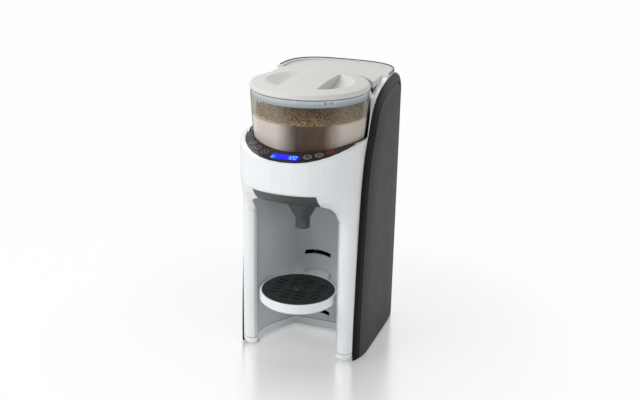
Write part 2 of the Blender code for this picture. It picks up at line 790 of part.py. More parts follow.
def fascia_outline(grow=0.0):
    """Front edge of the crescent before the container's well, grown outwards."""
    front = FASCIA_FRONT + grow
    end = math.acos(((-FASCIA_END_Y - grow) / front) ** (FASCIA_POWER / 2))
    right = []
    for k in range(FASCIA_STEPS // 2 + 1):
        turn = end * k / (FASCIA_STEPS // 2)
        right.append(((FASCIA_HALF + grow) * math.sin(turn) ** (2 / FASCIA_POWER),
                      -front * math.cos(turn) ** (2 / FASCIA_POWER)))
    return list(reversed(right)) + [(-x, y) for x, y in right[1:]]


def crown_solid(drop, low):
    """Everything under the head's top surface, lowered by a distance."""
    reach = AXIS_TO_FRONT + OVERRUN
    ys = [-reach + (CROWN_Y + reach) * k / FASCIA_STEPS for k in range(FASCIA_STEPS + 1)]
    outline = [(-reach, low)] + [(y, crown_z(y) - drop) for y in ys] + [(reach, CROWN_Z - drop), (reach, low)]
    return prism(list(reversed(outline)), -SHELL_HALF - OVERRUN, SHELL_HALF + OVERRUN, "X")


def make_front_shell():
    levels = shell_levels() + [CROWN_Z + OVERRUN]
    shell = loft([shell_ring(z, SHELL_REAR_Y) for z in levels])
    shell = common(shell, crown_solid(0, -OVERRUN))
    tower = [(y, z) for y, z in swoosh() if z > ROOF_UNDER_Z]
    tower = [(tower[0][0], ROOF_UNDER_Z)] + [p for p in tower if p[0] < SHOULDER_END_Y]
    tower += [(SHOULDER_END_Y, SWOOSH_TOP_Z), (SHOULDER_END_Y, ROOF_UNDER_Z)]
    shell = union(shell, prism(tower, -SHELL_HALF, SHELL_HALF, "X"))
    inner = [shell_ring(z, SHELL_REAR_Y + OVERRUN, SHELL_WALL) for z in shell_levels()]
    inner[0] = [(x, y, -OVERRUN) for x, y, z in inner[0]]
    inner.append([(x, y, ROOF_UNDER_Z) for x, y, z in inner[-1]])
    shell = cut(shell, loft(inner))
    notch = FUNNEL_HALF + FUNNEL_NOTCH_GAP
    shell = cut(shell, block((-notch, notch), (-AXIS_TO_FRONT - OVERRUN, FUNNEL_BACK_Y + FUNNEL_NOTCH_GAP),
                             (BAY_TOP_Z - OVERRUN, FUNNEL_TOP_Z + GAP)))
    shell = cut(shell, bay_solid(0, -OVERRUN, -AXIS_TO_FRONT - OVERRUN))
    nest = bay_solid(LINER_WALL + GAP, -OVERRUN * 2, -AXIS_TO_FRONT - OVERRUN)
    behind = (NOSE_Y - NOSE_RADIUS, BAY_REAR_Y + OVERRUN)
    shell = cut(shell, common(nest, block((-SHELL_HALF, SHELL_HALF), behind, (-OVERRUN, HEIGHT))))
    shell = cut(shell, rod(LEDGE_RADIUS, ROOF_UNDER_Z - OVERRUN, SEAT_Z, steps=STEPS_LARGE))
    shell = cut(shell, well_cutter(SEAT_RADIUS + GAP, SEAT_Z - GAP))
    shell = cut(shell, well_cutter(WELL_RADIUS, SEAT_RIM_Z))
    tank_space = prism([(-SHOULDER_HALF, 0), (SHOULDER_HALF, 0), (SHOULDER_HALF, SHOULDER_END_Y + OVERRUN),
                        (-SHOULDER_HALF, SHOULDER_END_Y + OVERRUN)], ROOF_UNDER_Z - OVERRUN, HEIGHT + OVERRUN)
    tank_space = cut(tank_space, rod(WELL_RADIUS + WELL_WALL, 0, HEIGHT * 2, steps=STEPS_LARGE))
    shell = cut(shell, tank_space)
    shell = cut(shell, prism(fascia_outline(GAP), SEAT_Z, HEIGHT + OVERRUN))
    for side in (-1, 1):
        centre = (side * FRONT_BOSS_X, FRONT_BOSS_Y)
        shell = union(shell, rod(BOSS_RADIUS, SEAM_Z + GAP, BOSS_HEIGHT, centre))
        shell = cut(shell, rod(SCREW_RADIUS + GAP, 0, BOSS_HEIGHT - BOSS_RADIUS, centre))
    return tidy(shell)


def slot_outline(index, clearance):
    """Frown-shaped section of a tray slot, or of the tray's hook without its clearance."""
    middle = SLOT_LOWEST_Z + SLOT_PITCH * index + SLOT_RISE
    half = SLOT_HALF + clearance
    top, bottom = [], []
    for k in range(SLOT_STEPS + 1):
        x = half * (2 * k / SLOT_STEPS - 1)
        z = middle - SLOT_RISE * (x / half) ** 2
        top.append((x, z + SLOT_HEIGHT / 2 + clearance))
        bottom.append((x, z - SLOT_HEIGHT / 2 - clearance))
    return bottom + list(reversed(top))


def make_bay_liner():
    low = SEAM_Z + GAP / 2
    liner = bay_solid(LINER_WALL, low, -AXIS_TO_FRONT)
    liner = cut(liner, bay_solid(0, low - OVERRUN, -AXIS_TO_FRONT - OVERRUN))
    notch = HOPPER_HALF + FUNNEL_NOTCH_GAP
    liner = cut(liner, block((-notch, notch), (-AXIS_TO_FRONT - OVERRUN, FUNNEL_BACK_Y + FUNNEL_NOTCH_GAP),
                             (BAY_TOP_Z - OVERRUN / 2, BAY_TOP_Z + OVERRUN)))
    for index in range(SLOT_COUNT):
        opening = slot_outline(index, SLOT_CLEARANCE)
        liner = cut(liner, prism(opening, BAY_REAR_Y - OVERRUN / 4, BAY_REAR_Y + OVERRUN, "Y"))
    legs = prism(both_sides(shell_half(0) + [(SHELL_HALF, BAY_REAR_Y + OVERRUN)]), 0, HEIGHT)
    room = [shell_ring(z, BAY_REAR_Y + OVERRUN / 2, SHELL_WALL + LINER_FRONT_GAP) for z in shell_levels()[1:]]
    return common(liner, union(legs, loft(room)))


def plinth_block(inset, low):
    """The foot moulding's outer block with its rounded bottom edge, or the space inside it."""
    rings = []
    top = SEAM_Z - GAP / 2 if inset == 0 else SEAM_Z + OVERRUN
    for k in range(PLINTH_EDGE_STEPS + 1):
        angle = math.pi / 2 * k / PLINTH_EDGE_STEPS
        z = low + PLINTH_EDGE_RADIUS * (1 - math.cos(angle))
        draw = inset + PLINTH_EDGE_RADIUS * (1 - math.sin(angle)) * (1 if inset == 0 else 0)
        half = shell_half(z, draw) + rear_corner(SHELL_HALF - draw, PLINTH_REAR_DEPTH - draw)
        rings.append([(x, y, z) for x, y in both_sides(half)])
    rings.append([(x, y, top) for x, y, z in rings[-1]])
    return loft(rings)


def make_plinth():
    reach = -AXIS_TO_FRONT - OVERRUN
    outer = cut(plinth_block(0, PLINTH_BOTTOM_Z), bay_solid(0, -OVERRUN, reach))
    inner = plinth_block(SHELL_WALL, PLINTH_BOTTOM_Z + PLINTH_FLOOR)
    inner = cut(inner, bay_solid(SHELL_WALL, -OVERRUN, reach))
    plinth = cut(outer, inner)
    for x, y in ((FRONT_BOSS_X, FRONT_BOSS_Y), (POST_X, POST_Y)):
        for side in (-1, 1):
            hole = turned([(0, 0), (SCREW_HEAD_RADIUS + GAP, 0), (SCREW_HEAD_RADIUS + GAP, screw_seat_z()),
                           (SCREW_RADIUS + GAP, screw_seat_z()), (SCREW_RADIUS + GAP, SEAM_Z), (0, SEAM_Z)],
                          (side * x, y), STEPS_SMALL)
            plinth = cut(plinth, hole)
    for side in (-1, 1):
        centre = (side * COVER_SCREW_X, COVER_SCREW_LOW_Z)
        plinth = cut(plinth, bar(SCREW_RADIUS + GAP, CORNER_START_Y, AXIS_TO_REAR, centre, "Y"))
    return tidy(plinth)


def screw_seat_z():
    return PLINTH_BOTTOM_Z + PLINTH_FLOOR - SCREW_HEAD / 2


def side_loft(half_limit, depth_shift, bottom, rear, top_x):
    """A dark side's crowned block, as a loft across X between its inset edge curves."""
    rings = []
    for depth, out in SIDE_CROWN_SHARES:
        x = SIDE_INNER + (half_limit - SIDE_INNER) * out
        outline = side_outline(depth * SIDE_CROWN_DEPTH + depth_shift, bottom, rear)
        rings.append([(x, y, z) for y, z in outline])
    return loft(rings)


def rear_plan(half, depth, low, high):
    """Upright block with the rounded rear plan."""
    outline = both_sides([(half, -AXIS_TO_FRONT)] + rear_corner(half, depth))
    return prism(outline, low, high)


def crest_block(half, depth):
    """Upright block with the rounded rear plan, drawn in where it rounds over at the top."""
    rings = []
    for z, inset in [(-OVERRUN * 2, 0)] + crest_insets() + [(HEIGHT + OVERRUN, CREST_INSET)]:
        plan = both_sides([(half - inset, -AXIS_TO_FRONT)] + rear_corner(half - inset, depth - inset))
        rings.append([(x, y, z) for x, y in plan])
    return loft(rings)


def crest_insets():
    """Height and inset of each level where the dark sides round over at the top."""
    found = []
    for k in range(CREST_STEPS + 1):
        share = k / CREST_STEPS
        z = SWOOSH_TOP_Z - CREST_DROP * (1 - share)
        found.append((z, CREST_INSET * (1 - math.sqrt(1 - share ** 2))))
    return found


def make_side():
    """Right-hand panel and its edge band."""
    rear = AXIS_TO_REAR + OVERRUN
    depth = AXIS_TO_REAR - CORNER_START_Y
    slab = side_loft(BODY_HALF, 0, SIDE_BOTTOM_Z, rear, BODY_HALF)
    slab = common(slab, crest_block(BODY_HALF, depth))
    band = bpy.data.objects.new("work", slab.data.copy())
    bpy.context.scene.collection.objects.link(band)
    inside = side_outline(TRIM_DEPTH, -OVERRUN, rear + OVERRUN)
    band = cut(band, prism(list(reversed(inside)), 0, BODY_HALF * 2, "X"))
    field = side_outline(TRIM_DEPTH + GAP, -OVERRUN, rear + OVERRUN)
    slab = common(slab, prism(list(reversed(field)), 0, BODY_HALF * 2, "X"))
    pocket_rings = []
    limit = BODY_HALF - SIDE_WALL
    for depth_in, x in ((POCKET_DEPTH, SIDE_INNER - OVERRUN / 2), (POCKET_DEPTH, SIDE_INNER + SIDE_WALL),
                        (SIDE_CROWN_DEPTH, limit)):
        pocket_rings.append([(x, y, z) for y, z in side_outline(depth_in, -OVERRUN, rear + OVERRUN)])
    pocket = loft(pocket_rings)
    pocket = common(pocket, rear_plan(limit, depth - SIDE_WALL, -OVERRUN * 2, HEIGHT))
    slab = cut(slab, pocket)
    outer = [p for p in rear_corner(BODY_HALF, depth) if p[0] > REAR_OPEN_HALF]
    outer.append((REAR_OPEN_HALF, rear_y(REAR_OPEN_HALF, BODY_HALF, depth)))
    inner = [p for p in rear_corner(limit, depth - SIDE_WALL) if p[0] > REAR_OPEN_HALF]
    inner.append((REAR_OPEN_HALF, rear_y(REAR_OPEN_HALF, limit, depth - SIDE_WALL)))
    corner = prism(outer[1:] + list(reversed(inner[1:])), SIDE_BOTTOM_Z, SWOOSH_TOP_Z - TRIM_DEPTH - GAP)
    slab = union(slab, common(corner, crest_block(BODY_HALF, depth)))
    low, high = SWOOSH_TOP_Z - POCKET_DEPTH, HINGE_Z - RUN_GAP
    crest = common(crest_block(BODY_HALF, depth), block((0, BODY_HALF), (0, AXIS_TO_REAR), (low, high)))
    crest = cut(crest, crest_block(limit, depth - SIDE_WALL))
    span = (REAR_OPEN_HALF, SHELL_HALF - GAP)
    slab = union(slab, common(crest, block(span, (CORNER_START_Y, AXIS_TO_REAR), (low, high))))
    return slab, band


def make_rear_cover():
    depth = COVER_DEPTH
    half = BODY_HALF
    edge = REAR_OPEN_HALF - GAP
    outer = rear_plan(half, depth, COVER_BOTTOM_Z, SHELF_Z + SHELF_THICK)
    inner = rear_plan(half - COVER_THICK, depth - COVER_THICK, 0, HEIGHT)
    cover = cut(outer, inner)
    cover = common(cover, block((-edge, edge), (CORNER_START_Y, AXIS_TO_REAR), (0, HEIGHT)))
    face_y = AXIS_TO_REAR
    cover = cut(cover, bar(GLAND_RADIUS + GAP, CORNER_START_Y, face_y, (GLAND_X, GLAND_Z), "Y", STEPS_SMALL))
    for side in (-1, 1):
        for z in (COVER_SCREW_LOW_Z, COVER_SCREW_HIGH_Z):
            centre = (side * COVER_SCREW_X, z)
            cover = cut(cover, bar(SCREW_RADIUS + GAP, CORNER_START_Y, face_y, centre, "Y"))
    return tidy(cover)


def cover_face_y(x):
    return rear_y(abs(x), BODY_HALF, COVER_DEPTH)


def make_gland():
    face = cover_face_y(GLAND_X) + GAP
    gland = bar(GLAND_RADIUS, face - GLAND_LENGTH, face + GAP, (GLAND_X, GLAND_Z), "Y", STEPS_SMALL)
    gland = union(gland, bar(GLAND_FLANGE_RADIUS, face, AXIS_TO_REAR, (GLAND_X, GLAND_Z), "Y", STEPS_MEDIUM))
    return cut(gland, bar(GLAND_BORE, 0, AXIS_TO_REAR + OVERRUN, (GLAND_X, GLAND_Z), "Y", STEPS_SMALL))


def make_shelf():
    half = [(SHELF_HALF, SHELF_FRONT_Y)] + rear_corner(SHELF_HALF, SHELF_DEPTH)
    shelf = prism(both_sides(half), SHELF_Z, SHELF_Z + SHELF_THICK)
    for side in (-1, 1):
        post = rod(POST_RADIUS, SEAM_Z, SHELF_Z + GAP, (side * POST_X, POST_Y))
        shelf = union(shelf, post)
        shelf = cut(shelf, rod(SCREW_RADIUS + GAP, 0, BOSS_HEIGHT, (side * POST_X, POST_Y)))
    flange = rear_plan(SHELF_HALF, SHELF_DEPTH, SHELF_Z - FLANGE_HEIGHT, SHELF_Z + GAP)
    flange = cut(flange, rear_plan(SHELF_HALF - SHELF_THICK, SHELF_DEPTH - SHELF_THICK, 0, HEIGHT))
    span = (-REAR_OPEN_HALF, REAR_OPEN_HALF)
    flange = common(flange, block(span, (CORNER_START_Y, AXIS_TO_REAR), (0, HEIGHT)))
    shelf = union(shelf, flange)
    shelf = cut(shelf, rod(SOCKET_RADIUS + GAP, 0, HEIGHT, (0, VALVE_Y), STEPS_MEDIUM))
    for side in (-1, 1):
        place_xz = (side * COVER_SCREW_X, COVER_SCREW_HIGH_Z)
        shelf = cut(shelf, bar(SCREW_RADIUS + GAP, CORNER_START_Y, AXIS_TO_REAR, place_xz, "Y"))
    return tidy(shelf)


def make_base_screw(x, y):
    low = screw_seat_z() - GAP
    profile = [(0, low - SCREW_HEAD), (SCREW_HEAD_RADIUS, low - SCREW_HEAD), (SCREW_HEAD_RADIUS, low),
               (SCREW_RADIUS, low), (SCREW_RADIUS, low + SCREW_LENGTH), (0, low + SCREW_LENGTH)]
    return turned(profile, (x, y), STEPS_SMALL)


def make_cover_screw(x, z):
    face = cover_face_y(abs(x) - SCREW_HEAD_RADIUS) + GAP
    screw = bar(SCREW_RADIUS, face - SCREW_LENGTH / 2, face + GAP, (x, z), "Y")
    return union(screw, bar(SCREW_HEAD_RADIUS, face, face + SCREW_HEAD / 2, (x, z), "Y"))


# Powder container, lid and what turns in them

def container_radius(z):
    foot = SEAT_Z + SEAT_FLOOR
    share = min(max((z - foot) / (CONTAINER_BAND_Z - foot), 0), 1)
    return CONTAINER_FOOT_RADIUS + (CONTAINER_TOP_RADIUS - CONTAINER_FOOT_RADIUS) * share


CONTAINER_Z = SEAT_Z + SEAT_FLOOR + GAP
CONTAINER_FLOOR_Z = CONTAINER_Z + CONTAINER_FLOOR
LID_UNDER_Z = LID_TOP_Z - LID_PLATE - LID_EDGE


def make_seat():
    """White ring and floor that carry the container, with the powder's chute under them."""
    bore = SHAFT_RADIUS + RUN_GAP * 2
    high = CROWN_Z + OVERRUN
    inner = SEAT_RADIUS - SEAT_WALL
    floor = SEAT_Z + SEAT_FLOOR
    seat = turned([(bore, SEAT_Z), (SEAT_RADIUS, SEAT_Z), (SEAT_RADIUS, high), (inner, high), (inner, floor),
                   (bore, floor)])
    seat = common(seat, crown_solid(0, 0))
    outlet = (0, OUTLET_Y)
    chute_top = SEAT_Z + SEAT_FLOOR / 2
    seat = union(seat, rod(OUTLET_RADIUS + CHUTE_WALL, CHUTE_END_Z, chute_top, outlet, STEPS_MEDIUM))
    return tidy(cut(seat, rod(OUTLET_RADIUS, 0, HEIGHT, outlet, STEPS_MEDIUM)))


def make_container():
    top = LID_UNDER_Z - GAP
    wall = CONTAINER_WALL
    bore = HUB_RADIUS + RUN_GAP
    foot, rim = CONTAINER_FOOT_RADIUS, CONTAINER_TOP_RADIUS
    low, floor, band = CONTAINER_Z, CONTAINER_FLOOR_Z, CONTAINER_BAND_Z
    profile = [(bore, low), (foot, low), (rim, band), (rim, top), (rim - wall, top), (rim - wall, band),
               (foot - wall, floor), (bore, floor)]
    outlet = rod(OUTLET_RADIUS, 0, CONTAINER_FLOOR_Z + OVERRUN / 2, (0, OUTLET_Y), STEPS_MEDIUM)
    return tidy(cut(turned(profile), outlet))


def make_dosing_wheel():
    low = CONTAINER_FLOOR_Z + WHEEL_GAP
    high = low + DOSING_THICK
    wheel = turned([(0, low), (DOSING_RADIUS, low), (DOSING_RADIUS, high), (0, high)])
    wheel = union(wheel, rod(HUB_RADIUS, CONTAINER_Z + GAP, low + GAP, steps=STEPS_MEDIUM))
    for k in range(DOSING_POCKETS):
        angle = 2 * math.pi * (k + 1 / 2) / DOSING_POCKETS - math.pi / 2
        centre = (-OUTLET_Y * math.cos(angle), -OUTLET_Y * math.sin(angle))
        wheel = cut(wheel, rod(DOSING_POCKET_RADIUS, 0, HEIGHT, centre, STEPS_SMALL))
    socket = prism(circle(COUPLER_RADIUS + RUN_GAP, COUPLER_SIDES), 0, HEIGHT)
    return tidy(cut(wheel, socket))


def stir_low_z():
    return CONTAINER_FLOOR_Z + WHEEL_GAP + DOSING_THICK + GAP


def make_stir_wheel():
    low = stir_low_z()
    stir = turned([(0, low), (HUB_RADIUS, low), (HUB_RADIUS, low + HUB_HEIGHT),
                   (STIR_SPINDLE_RADIUS, low + HUB_HEIGHT + STIR_SPINDLE_HEIGHT),
                   (0, low + HUB_HEIGHT + STIR_SPINDLE_HEIGHT)], steps=STEPS_MEDIUM)
    half = STIR_ARM_WIDTH / 2
    for k in range(STIR_ARMS):
        arm = block((0, STIR_LENGTH), (-half, half), (low, low + STIR_ARM_HEIGHT))
        arm.data.transform(Matrix.Rotation(2 * math.pi * k / STIR_ARMS, 4, "Z"))
        stir = union(stir, arm)
    socket_top = low + HUB_HEIGHT / 2
    return tidy(cut(stir, prism(circle(COUPLER_RADIUS + RUN_GAP, COUPLER_SIDES), 0, socket_top)))


def make_powder():
    """The powder: a ring beside the wheels and a thick disc over them."""
    wall = CONTAINER_WALL + GAP
    low = CONTAINER_FLOOR_Z + GAP
    sweep = DOSING_RADIUS + POWDER_CLEARANCE
    over = stir_low_z() + STIR_ARM_HEIGHT + POWDER_CLEARANCE
    core = HUB_RADIUS + POWDER_CLEARANCE
    top = POWDER_TOP_Z
    return turned([(sweep, low), (container_radius(low) - wall, low), (container_radius(top) - wall, top),
                   (core, top), (core, over), (sweep, over)])


def dome_z(radius):
    """Height of the lid's domed top at a distance from its axis."""
    ball = (LID_RADIUS ** 2 + LID_CROWN ** 2) / (2 * LID_CROWN)
    return HEIGHT - ball + math.sqrt(ball ** 2 - radius ** 2)


def scoop(side, grow):
    """Ball-shaped hollow beside the lid's bar, grown by a wall where its outside is wanted."""
    radius = SCOOP_RADIUS + grow
    middle_z = LID_TOP_Z - SCOOP_DEPTH + SCOOP_RADIUS
    turn = math.asin(LID_RADIUS / SCOOP_RADIUS)
    arc = [(radius * math.sin(turn * k / SCOOP_POINTS), middle_z - radius * math.cos(turn * k / SCOOP_POINTS))
           for k in range(SCOOP_POINTS + 1)]
    ball = turned(arc + [(arc[-1][0], middle_z), (0, middle_z)], (side * SCOOP_CENTRE_X, 0), STEPS_MEDIUM)
    limits = sorted((side * (LID_BAR_HALF - grow), side * LID_RADIUS * 2))
    return common(ball, block(limits, (-LID_RADIUS * 2, LID_RADIUS * 2), (0, HEIGHT * 2)))


def make_lid():
    """White domed lid with two finger scoops that leave a bar from front to back."""
    rim = LID_UNDER_Z
    bevel = LID_EDGE / 2
    share_of_dome = [k / LID_DOME_POINTS for k in range(LID_DOME_POINTS + 1)]
    reach = LID_RADIUS - LID_EDGE
    top = [(reach * (1 - s), dome_z(reach * (1 - s))) for s in share_of_dome]
    reach -= LID_PLATE
    under = [(reach * s, dome_z(reach * s) - LID_PLATE) for s in share_of_dome]
    edge = [(LID_RADIUS, LID_TOP_Z - bevel * 2), (LID_RADIUS - bevel, LID_TOP_Z - bevel / 2)]
    lid = turned([(reach, rim), (LID_RADIUS, rim)] + edge + top + under)
    lowered = [(r, z - GAP) for r, z in reversed(top)]
    for side in (-1, 1):
        below = turned([(0, 0)] + lowered + [(lowered[-1][0], 0)])
        lid = union(lid, common(scoop(side, LID_PLATE), below))
    return tidy(cut(lid, scoop(-1, 0), scoop(1, 0)))


def make_lid_band():
    outer = CONTAINER_TOP_RADIUS - CONTAINER_WALL - GAP - SEAL_THICK / 2
    return sleeve(outer, outer - LID_BAND_THICK, CONTAINER_BAND_Z, LID_UNDER_Z - GAP, steps=STEPS_LARGE)


def make_lid_seal():
    """Soft ring on the skirt's foot."""
    outer = CONTAINER_TOP_RADIUS - CONTAINER_WALL - GAP - SEAL_THICK / 2
    high = CONTAINER_BAND_Z - GAP
    return sleeve(outer, outer - LID_BAND_THICK, high - SEAL_THICK, high, steps=STEPS_LARGE)


# Drive

def gear_outline(teeth, turn):
    """Straight-flanked tooth outline."""
    pitch = GEAR_MODULE * teeth / 2
    tip, root = pitch + GEAR_MODULE, pitch - GEAR_MODULE * TOOTH_ROOT_SHARE
    step = 2 * math.pi / teeth
    thin = GEAR_MODULE * BACKLASH_SHARE / 2 / pitch
    outline = []
    for k in range(teeth):
        middle = turn + k * step
        wide, narrow = step * TOOTH_SHARE - thin, step * TOOTH_TIP_SHARE - thin
        for radius, angle in ((root, -wide), (tip, -narrow), (tip, narrow), (root, wide)):
            outline.append((radius * math.cos(middle + angle), radius * math.sin(middle + angle)))
    return outline


CENTRE_DISTANCE = GEAR_MODULE * (GEAR_TEETH + PINION_TEETH) / 2
MOTOR_PLACE = (CENTRE_DISTANCE * math.cos(MOTOR_ANGLE), CENTRE_DISTANCE * math.sin(MOTOR_ANGLE))
DECK_TOP_Z = ROOF_UNDER_Z - GAP


def make_drive_gear():
    gear = prism(gear_outline(GEAR_TEETH, MOTOR_ANGLE), GEAR_Z, GEAR_Z + GEAR_WIDTH)
    coupler_low = CONTAINER_Z + GAP
    shaft = rod(SHAFT_RADIUS, DECK_TOP_Z - DECK_THICK, coupler_low + GAP, steps=STEPS_SMALL)
    gear = union(gear, shaft)
    top = stir_low_z() + HUB_HEIGHT / 2 - RUN_GAP
    return tidy(union(gear, prism(circle(COUPLER_RADIUS, COUPLER_SIDES), coupler_low, top)))


def make_pinion():
    half_step = math.pi / PINION_TEETH
    outline = gear_outline(PINION_TEETH, MOTOR_ANGLE + math.pi + half_step)
    outline = [(x + MOTOR_PLACE[0], y + MOTOR_PLACE[1]) for x, y in outline]
    pinion = prism(outline, GEAR_Z, GEAR_Z + GEAR_WIDTH)
    return tidy(cut(pinion, rod(MOTOR_SHAFT_RADIUS + GAP / 2, 0, HEIGHT, MOTOR_PLACE)))


def make_motor():
    top = DECK_TOP_Z - DECK_THICK - GAP
    neck = MOTOR_RADIUS / 3
    low, step, shaft_top = top - MOTOR_LENGTH, top - neck * 2, GEAR_Z + GEAR_WIDTH - GAP
    slim, shaft = MOTOR_RADIUS - neck / 2, MOTOR_SHAFT_RADIUS
    profile = [(0, low), (slim, low), (slim, step), (MOTOR_RADIUS, step), (MOTOR_RADIUS, top), (shaft, top),
               (shaft, shaft_top), (0, shaft_top)]
    return turned(profile, MOTOR_PLACE, STEPS_MEDIUM)


def make_deck():
    low = DECK_TOP_Z - DECK_THICK
    deck = sleeve(DECK_RADIUS, SHAFT_RADIUS + RUN_GAP, low, DECK_TOP_Z, steps=STEPS_LARGE)
    deck = cut(deck, rod(OUTLET_RADIUS + CHUTE_WALL + GAP, 0, HEIGHT, (0, OUTLET_Y), STEPS_MEDIUM))
    return tidy(cut(deck, rod(MOTOR_SHAFT_RADIUS + RUN_GAP, 0, HEIGHT, MOTOR_PLACE)))


# Control fascia

def make_fascia():
    fascia = prism(fascia_outline(0), SEAT_Z, HEIGHT)
    fascia = common(fascia, crown_solid(0, 0))
    fascia = cut(fascia, crown_solid(FASCIA_THICK, -OVERRUN))
    fascia = cut(fascia, well_cutter(SEAT_RADIUS + GAP, 0))
    for x, y in button_places():
        for side in (-1, 1):
            opening = oval(side * x, y, BUTTON_HALF + GAP, BUTTON_DEPTH_HALF + GAP)
            fascia = cut(fascia, prism(opening, 0, HEIGHT))
    return tidy(cut(fascia, block((-LCD_HALF - GAP, LCD_HALF + GAP),
                                  (LCD_Y - LCD_DEPTH_HALF - GAP, LCD_Y + LCD_DEPTH_HALF + GAP), (0, HEIGHT))))


def button_places():
    """Centres of the right-hand buttons."""
    return [(a * FASCIA_HALF, -b * FASCIA_FRONT) for a, b in BUTTON_SHARES]


def oval(x, y, half, depth):
    """Oval that lies along the crescent."""
    turn = math.atan2(x, -y) * BUTTON_TURN_SHARE
    found = []
    for k in range(BUTTON_STEPS):
        angle = 2 * math.pi * k / BUTTON_STEPS
        along, across = half * math.cos(angle), depth * math.sin(angle)
        found.append((x + along * math.cos(turn) - across * math.sin(turn),
                      y + along * math.sin(turn) + across * math.cos(turn)))
    return found


def make_button(x, y):
    """Cap through the fascia with a flange under it that keeps it in."""
    high = button_flange_z(y)
    low = high - BUTTON_FLANGE
    cap = prism(oval(x, y, BUTTON_HALF, BUTTON_DEPTH_HALF), low + BUTTON_FLANGE / 2, CROWN_Z)
    cap = common(cap, crown_solid(-BUTTON_PROUD, 0))
    flange = oval(x, y, BUTTON_HALF + BUTTON_FLANGE, BUTTON_DEPTH_HALF + BUTTON_FLANGE)
    return union(cap, prism(flange, low, high))


def button_flange_z(y):
    """Top of a button's flange, clear of the fascia's lowest underside beside it."""
    return crown_z(y - BUTTON_HALF) - FASCIA_THICK - GAP


def make_lcd():
    low_y, high_y = LCD_Y - LCD_DEPTH_HALF, LCD_Y + LCD_DEPTH_HALF
    outline = [(low_y, crown_z(low_y) - LCD_THICK), (high_y, crown_z(high_y) - LCD_THICK),
               (high_y, crown_z(high_y) - GAP), (low_y, crown_z(low_y) - GAP)]
    return prism(outline, -LCD_HALF, LCD_HALF, "X")


def display_board_z():
    return button_flange_z(button_places()[0][1]) - BUTTON_FLANGE - BUTTON_TRAVEL - GAP


def make_display_board():
    board = prism(fascia_outline(-FASCIA_THICK * 2), display_board_z() - BOARD_THICK, display_board_z())
    return tidy(cut(board, well_cutter(SEAT_RADIUS + GAP * 2, 0)))


# Funnel

def funnel_plan(z, inset):
    """Plan of the funnel's tray at a height; its front lies flush with the shell's face."""
    half = FUNNEL_HALF - inset
    right = []
    for k in range(FUNNEL_STEPS + 1):
        x = half * k / FUNNEL_STEPS
        right.append((x, front_y(x, z) + inset + GAP))
    right.append((half, FUNNEL_BACK_Y - inset))
    return [(x, y, z) for x, y in both_sides(right)]


def hopper_ring(z, half, depth, squareness):
    """Ring between a rounded oblong and a circle."""
    ring = []
    for k in range(STEPS_MEDIUM):
        angle = 2 * math.pi * k / STEPS_MEDIUM
        c, s = math.cos(angle), math.sin(angle)
        power = 2 / squareness
        x = math.copysign(abs(c) ** power, c) * half
        y = math.copysign(abs(s) ** power, s) * depth
        ring.append((x, SPOUT_Y + y, z))
    return ring


def funnel_lip_ring(z):
    """Plan of the lip under the funnel's front, which closes the shell's notch down to the bay."""
    xs = [FUNNEL_HALF * (2 * k / FUNNEL_STEPS - 1) for k in range(FUNNEL_STEPS + 1)]
    front = [(x, front_y(abs(x), z) + GAP) for x in xs]
    return [(x, y, z) for x, y in front] + [(x, y + FUNNEL_LIP, z) for x, y in reversed(front)]


def make_funnel():
    low = BAY_TOP_Z + LINER_WALL + GAP
    wall = FUNNEL_WALL
    middle = (low + FUNNEL_TOP_Z) / 2
    high = low + wall
    funnel = loft([funnel_plan(z, 0) for z in (low, middle, FUNNEL_TOP_Z)])
    funnel = union(funnel, loft([funnel_lip_ring(z) for z in (BAY_TOP_Z + GAP, low + wall / 2)]))
    square = HOPPER_SQUARENESS
    spout = [hopper_ring(z, SPOUT_RADIUS, SPOUT_RADIUS, 2) for z in (SPOUT_END_Z, SPOUT_TOP_Z)]
    hopper = [hopper_ring(z, HOPPER_HALF, HOPPER_DEPTH_HALF, square) for z in (low - wall, high)]
    funnel = union(funnel, loft(spout + hopper))
    funnel = cut(funnel, loft([funnel_plan(z, wall) for z in (high, FUNNEL_TOP_Z + GAP)]))
    bore = SPOUT_RADIUS - wall
    spout = [hopper_ring(z, bore, bore, 2) for z in (SPOUT_END_Z - wall, SPOUT_TOP_Z + GAP)]
    half, depth = HOPPER_HALF - wall, HOPPER_DEPTH_HALF - wall
    hopper = [hopper_ring(z, half, depth, square) for z in (low - wall, high + wall)]
    return tidy(cut(funnel, loft(spout + hopper)))


# Drip tray

TRAY_PLACE = (0, TRAY_CENTRE_Y)


def make_tray():
    low = TRAY_TOP_Z - TRAY_DEPTH
    ledge = TRAY_TOP_Z - GRILLE_THICK - GAP
    edge = TRAY_RADIUS - TRAY_STEP
    floor = low + TRAY_WALL
    soft, top = TRAY_WALL / 2, TRAY_TOP_Z
    wide, inner = TRAY_RADIUS, edge - TRAY_LEDGE
    tray = turned([(0, low), (edge, low), (wide, low + TRAY_STEP), (wide, top - soft), (wide - soft, top),
                   (edge + GAP, top), (edge + GAP, ledge), (inner, ledge), (inner, floor), (0, floor)], TRAY_PLACE)
    hook = prism(slot_outline(TRAY_SLOT_INDEX, 0), TRAY_CENTRE_Y + edge, BAY_REAR_Y + HOOK_LENGTH_BEYOND, "Y")
    hook = cut(hook, rod(edge - TRAY_LEDGE / 2, 0, HEIGHT, TRAY_PLACE, STEPS_LARGE))
    return tidy(union(tray, hook))


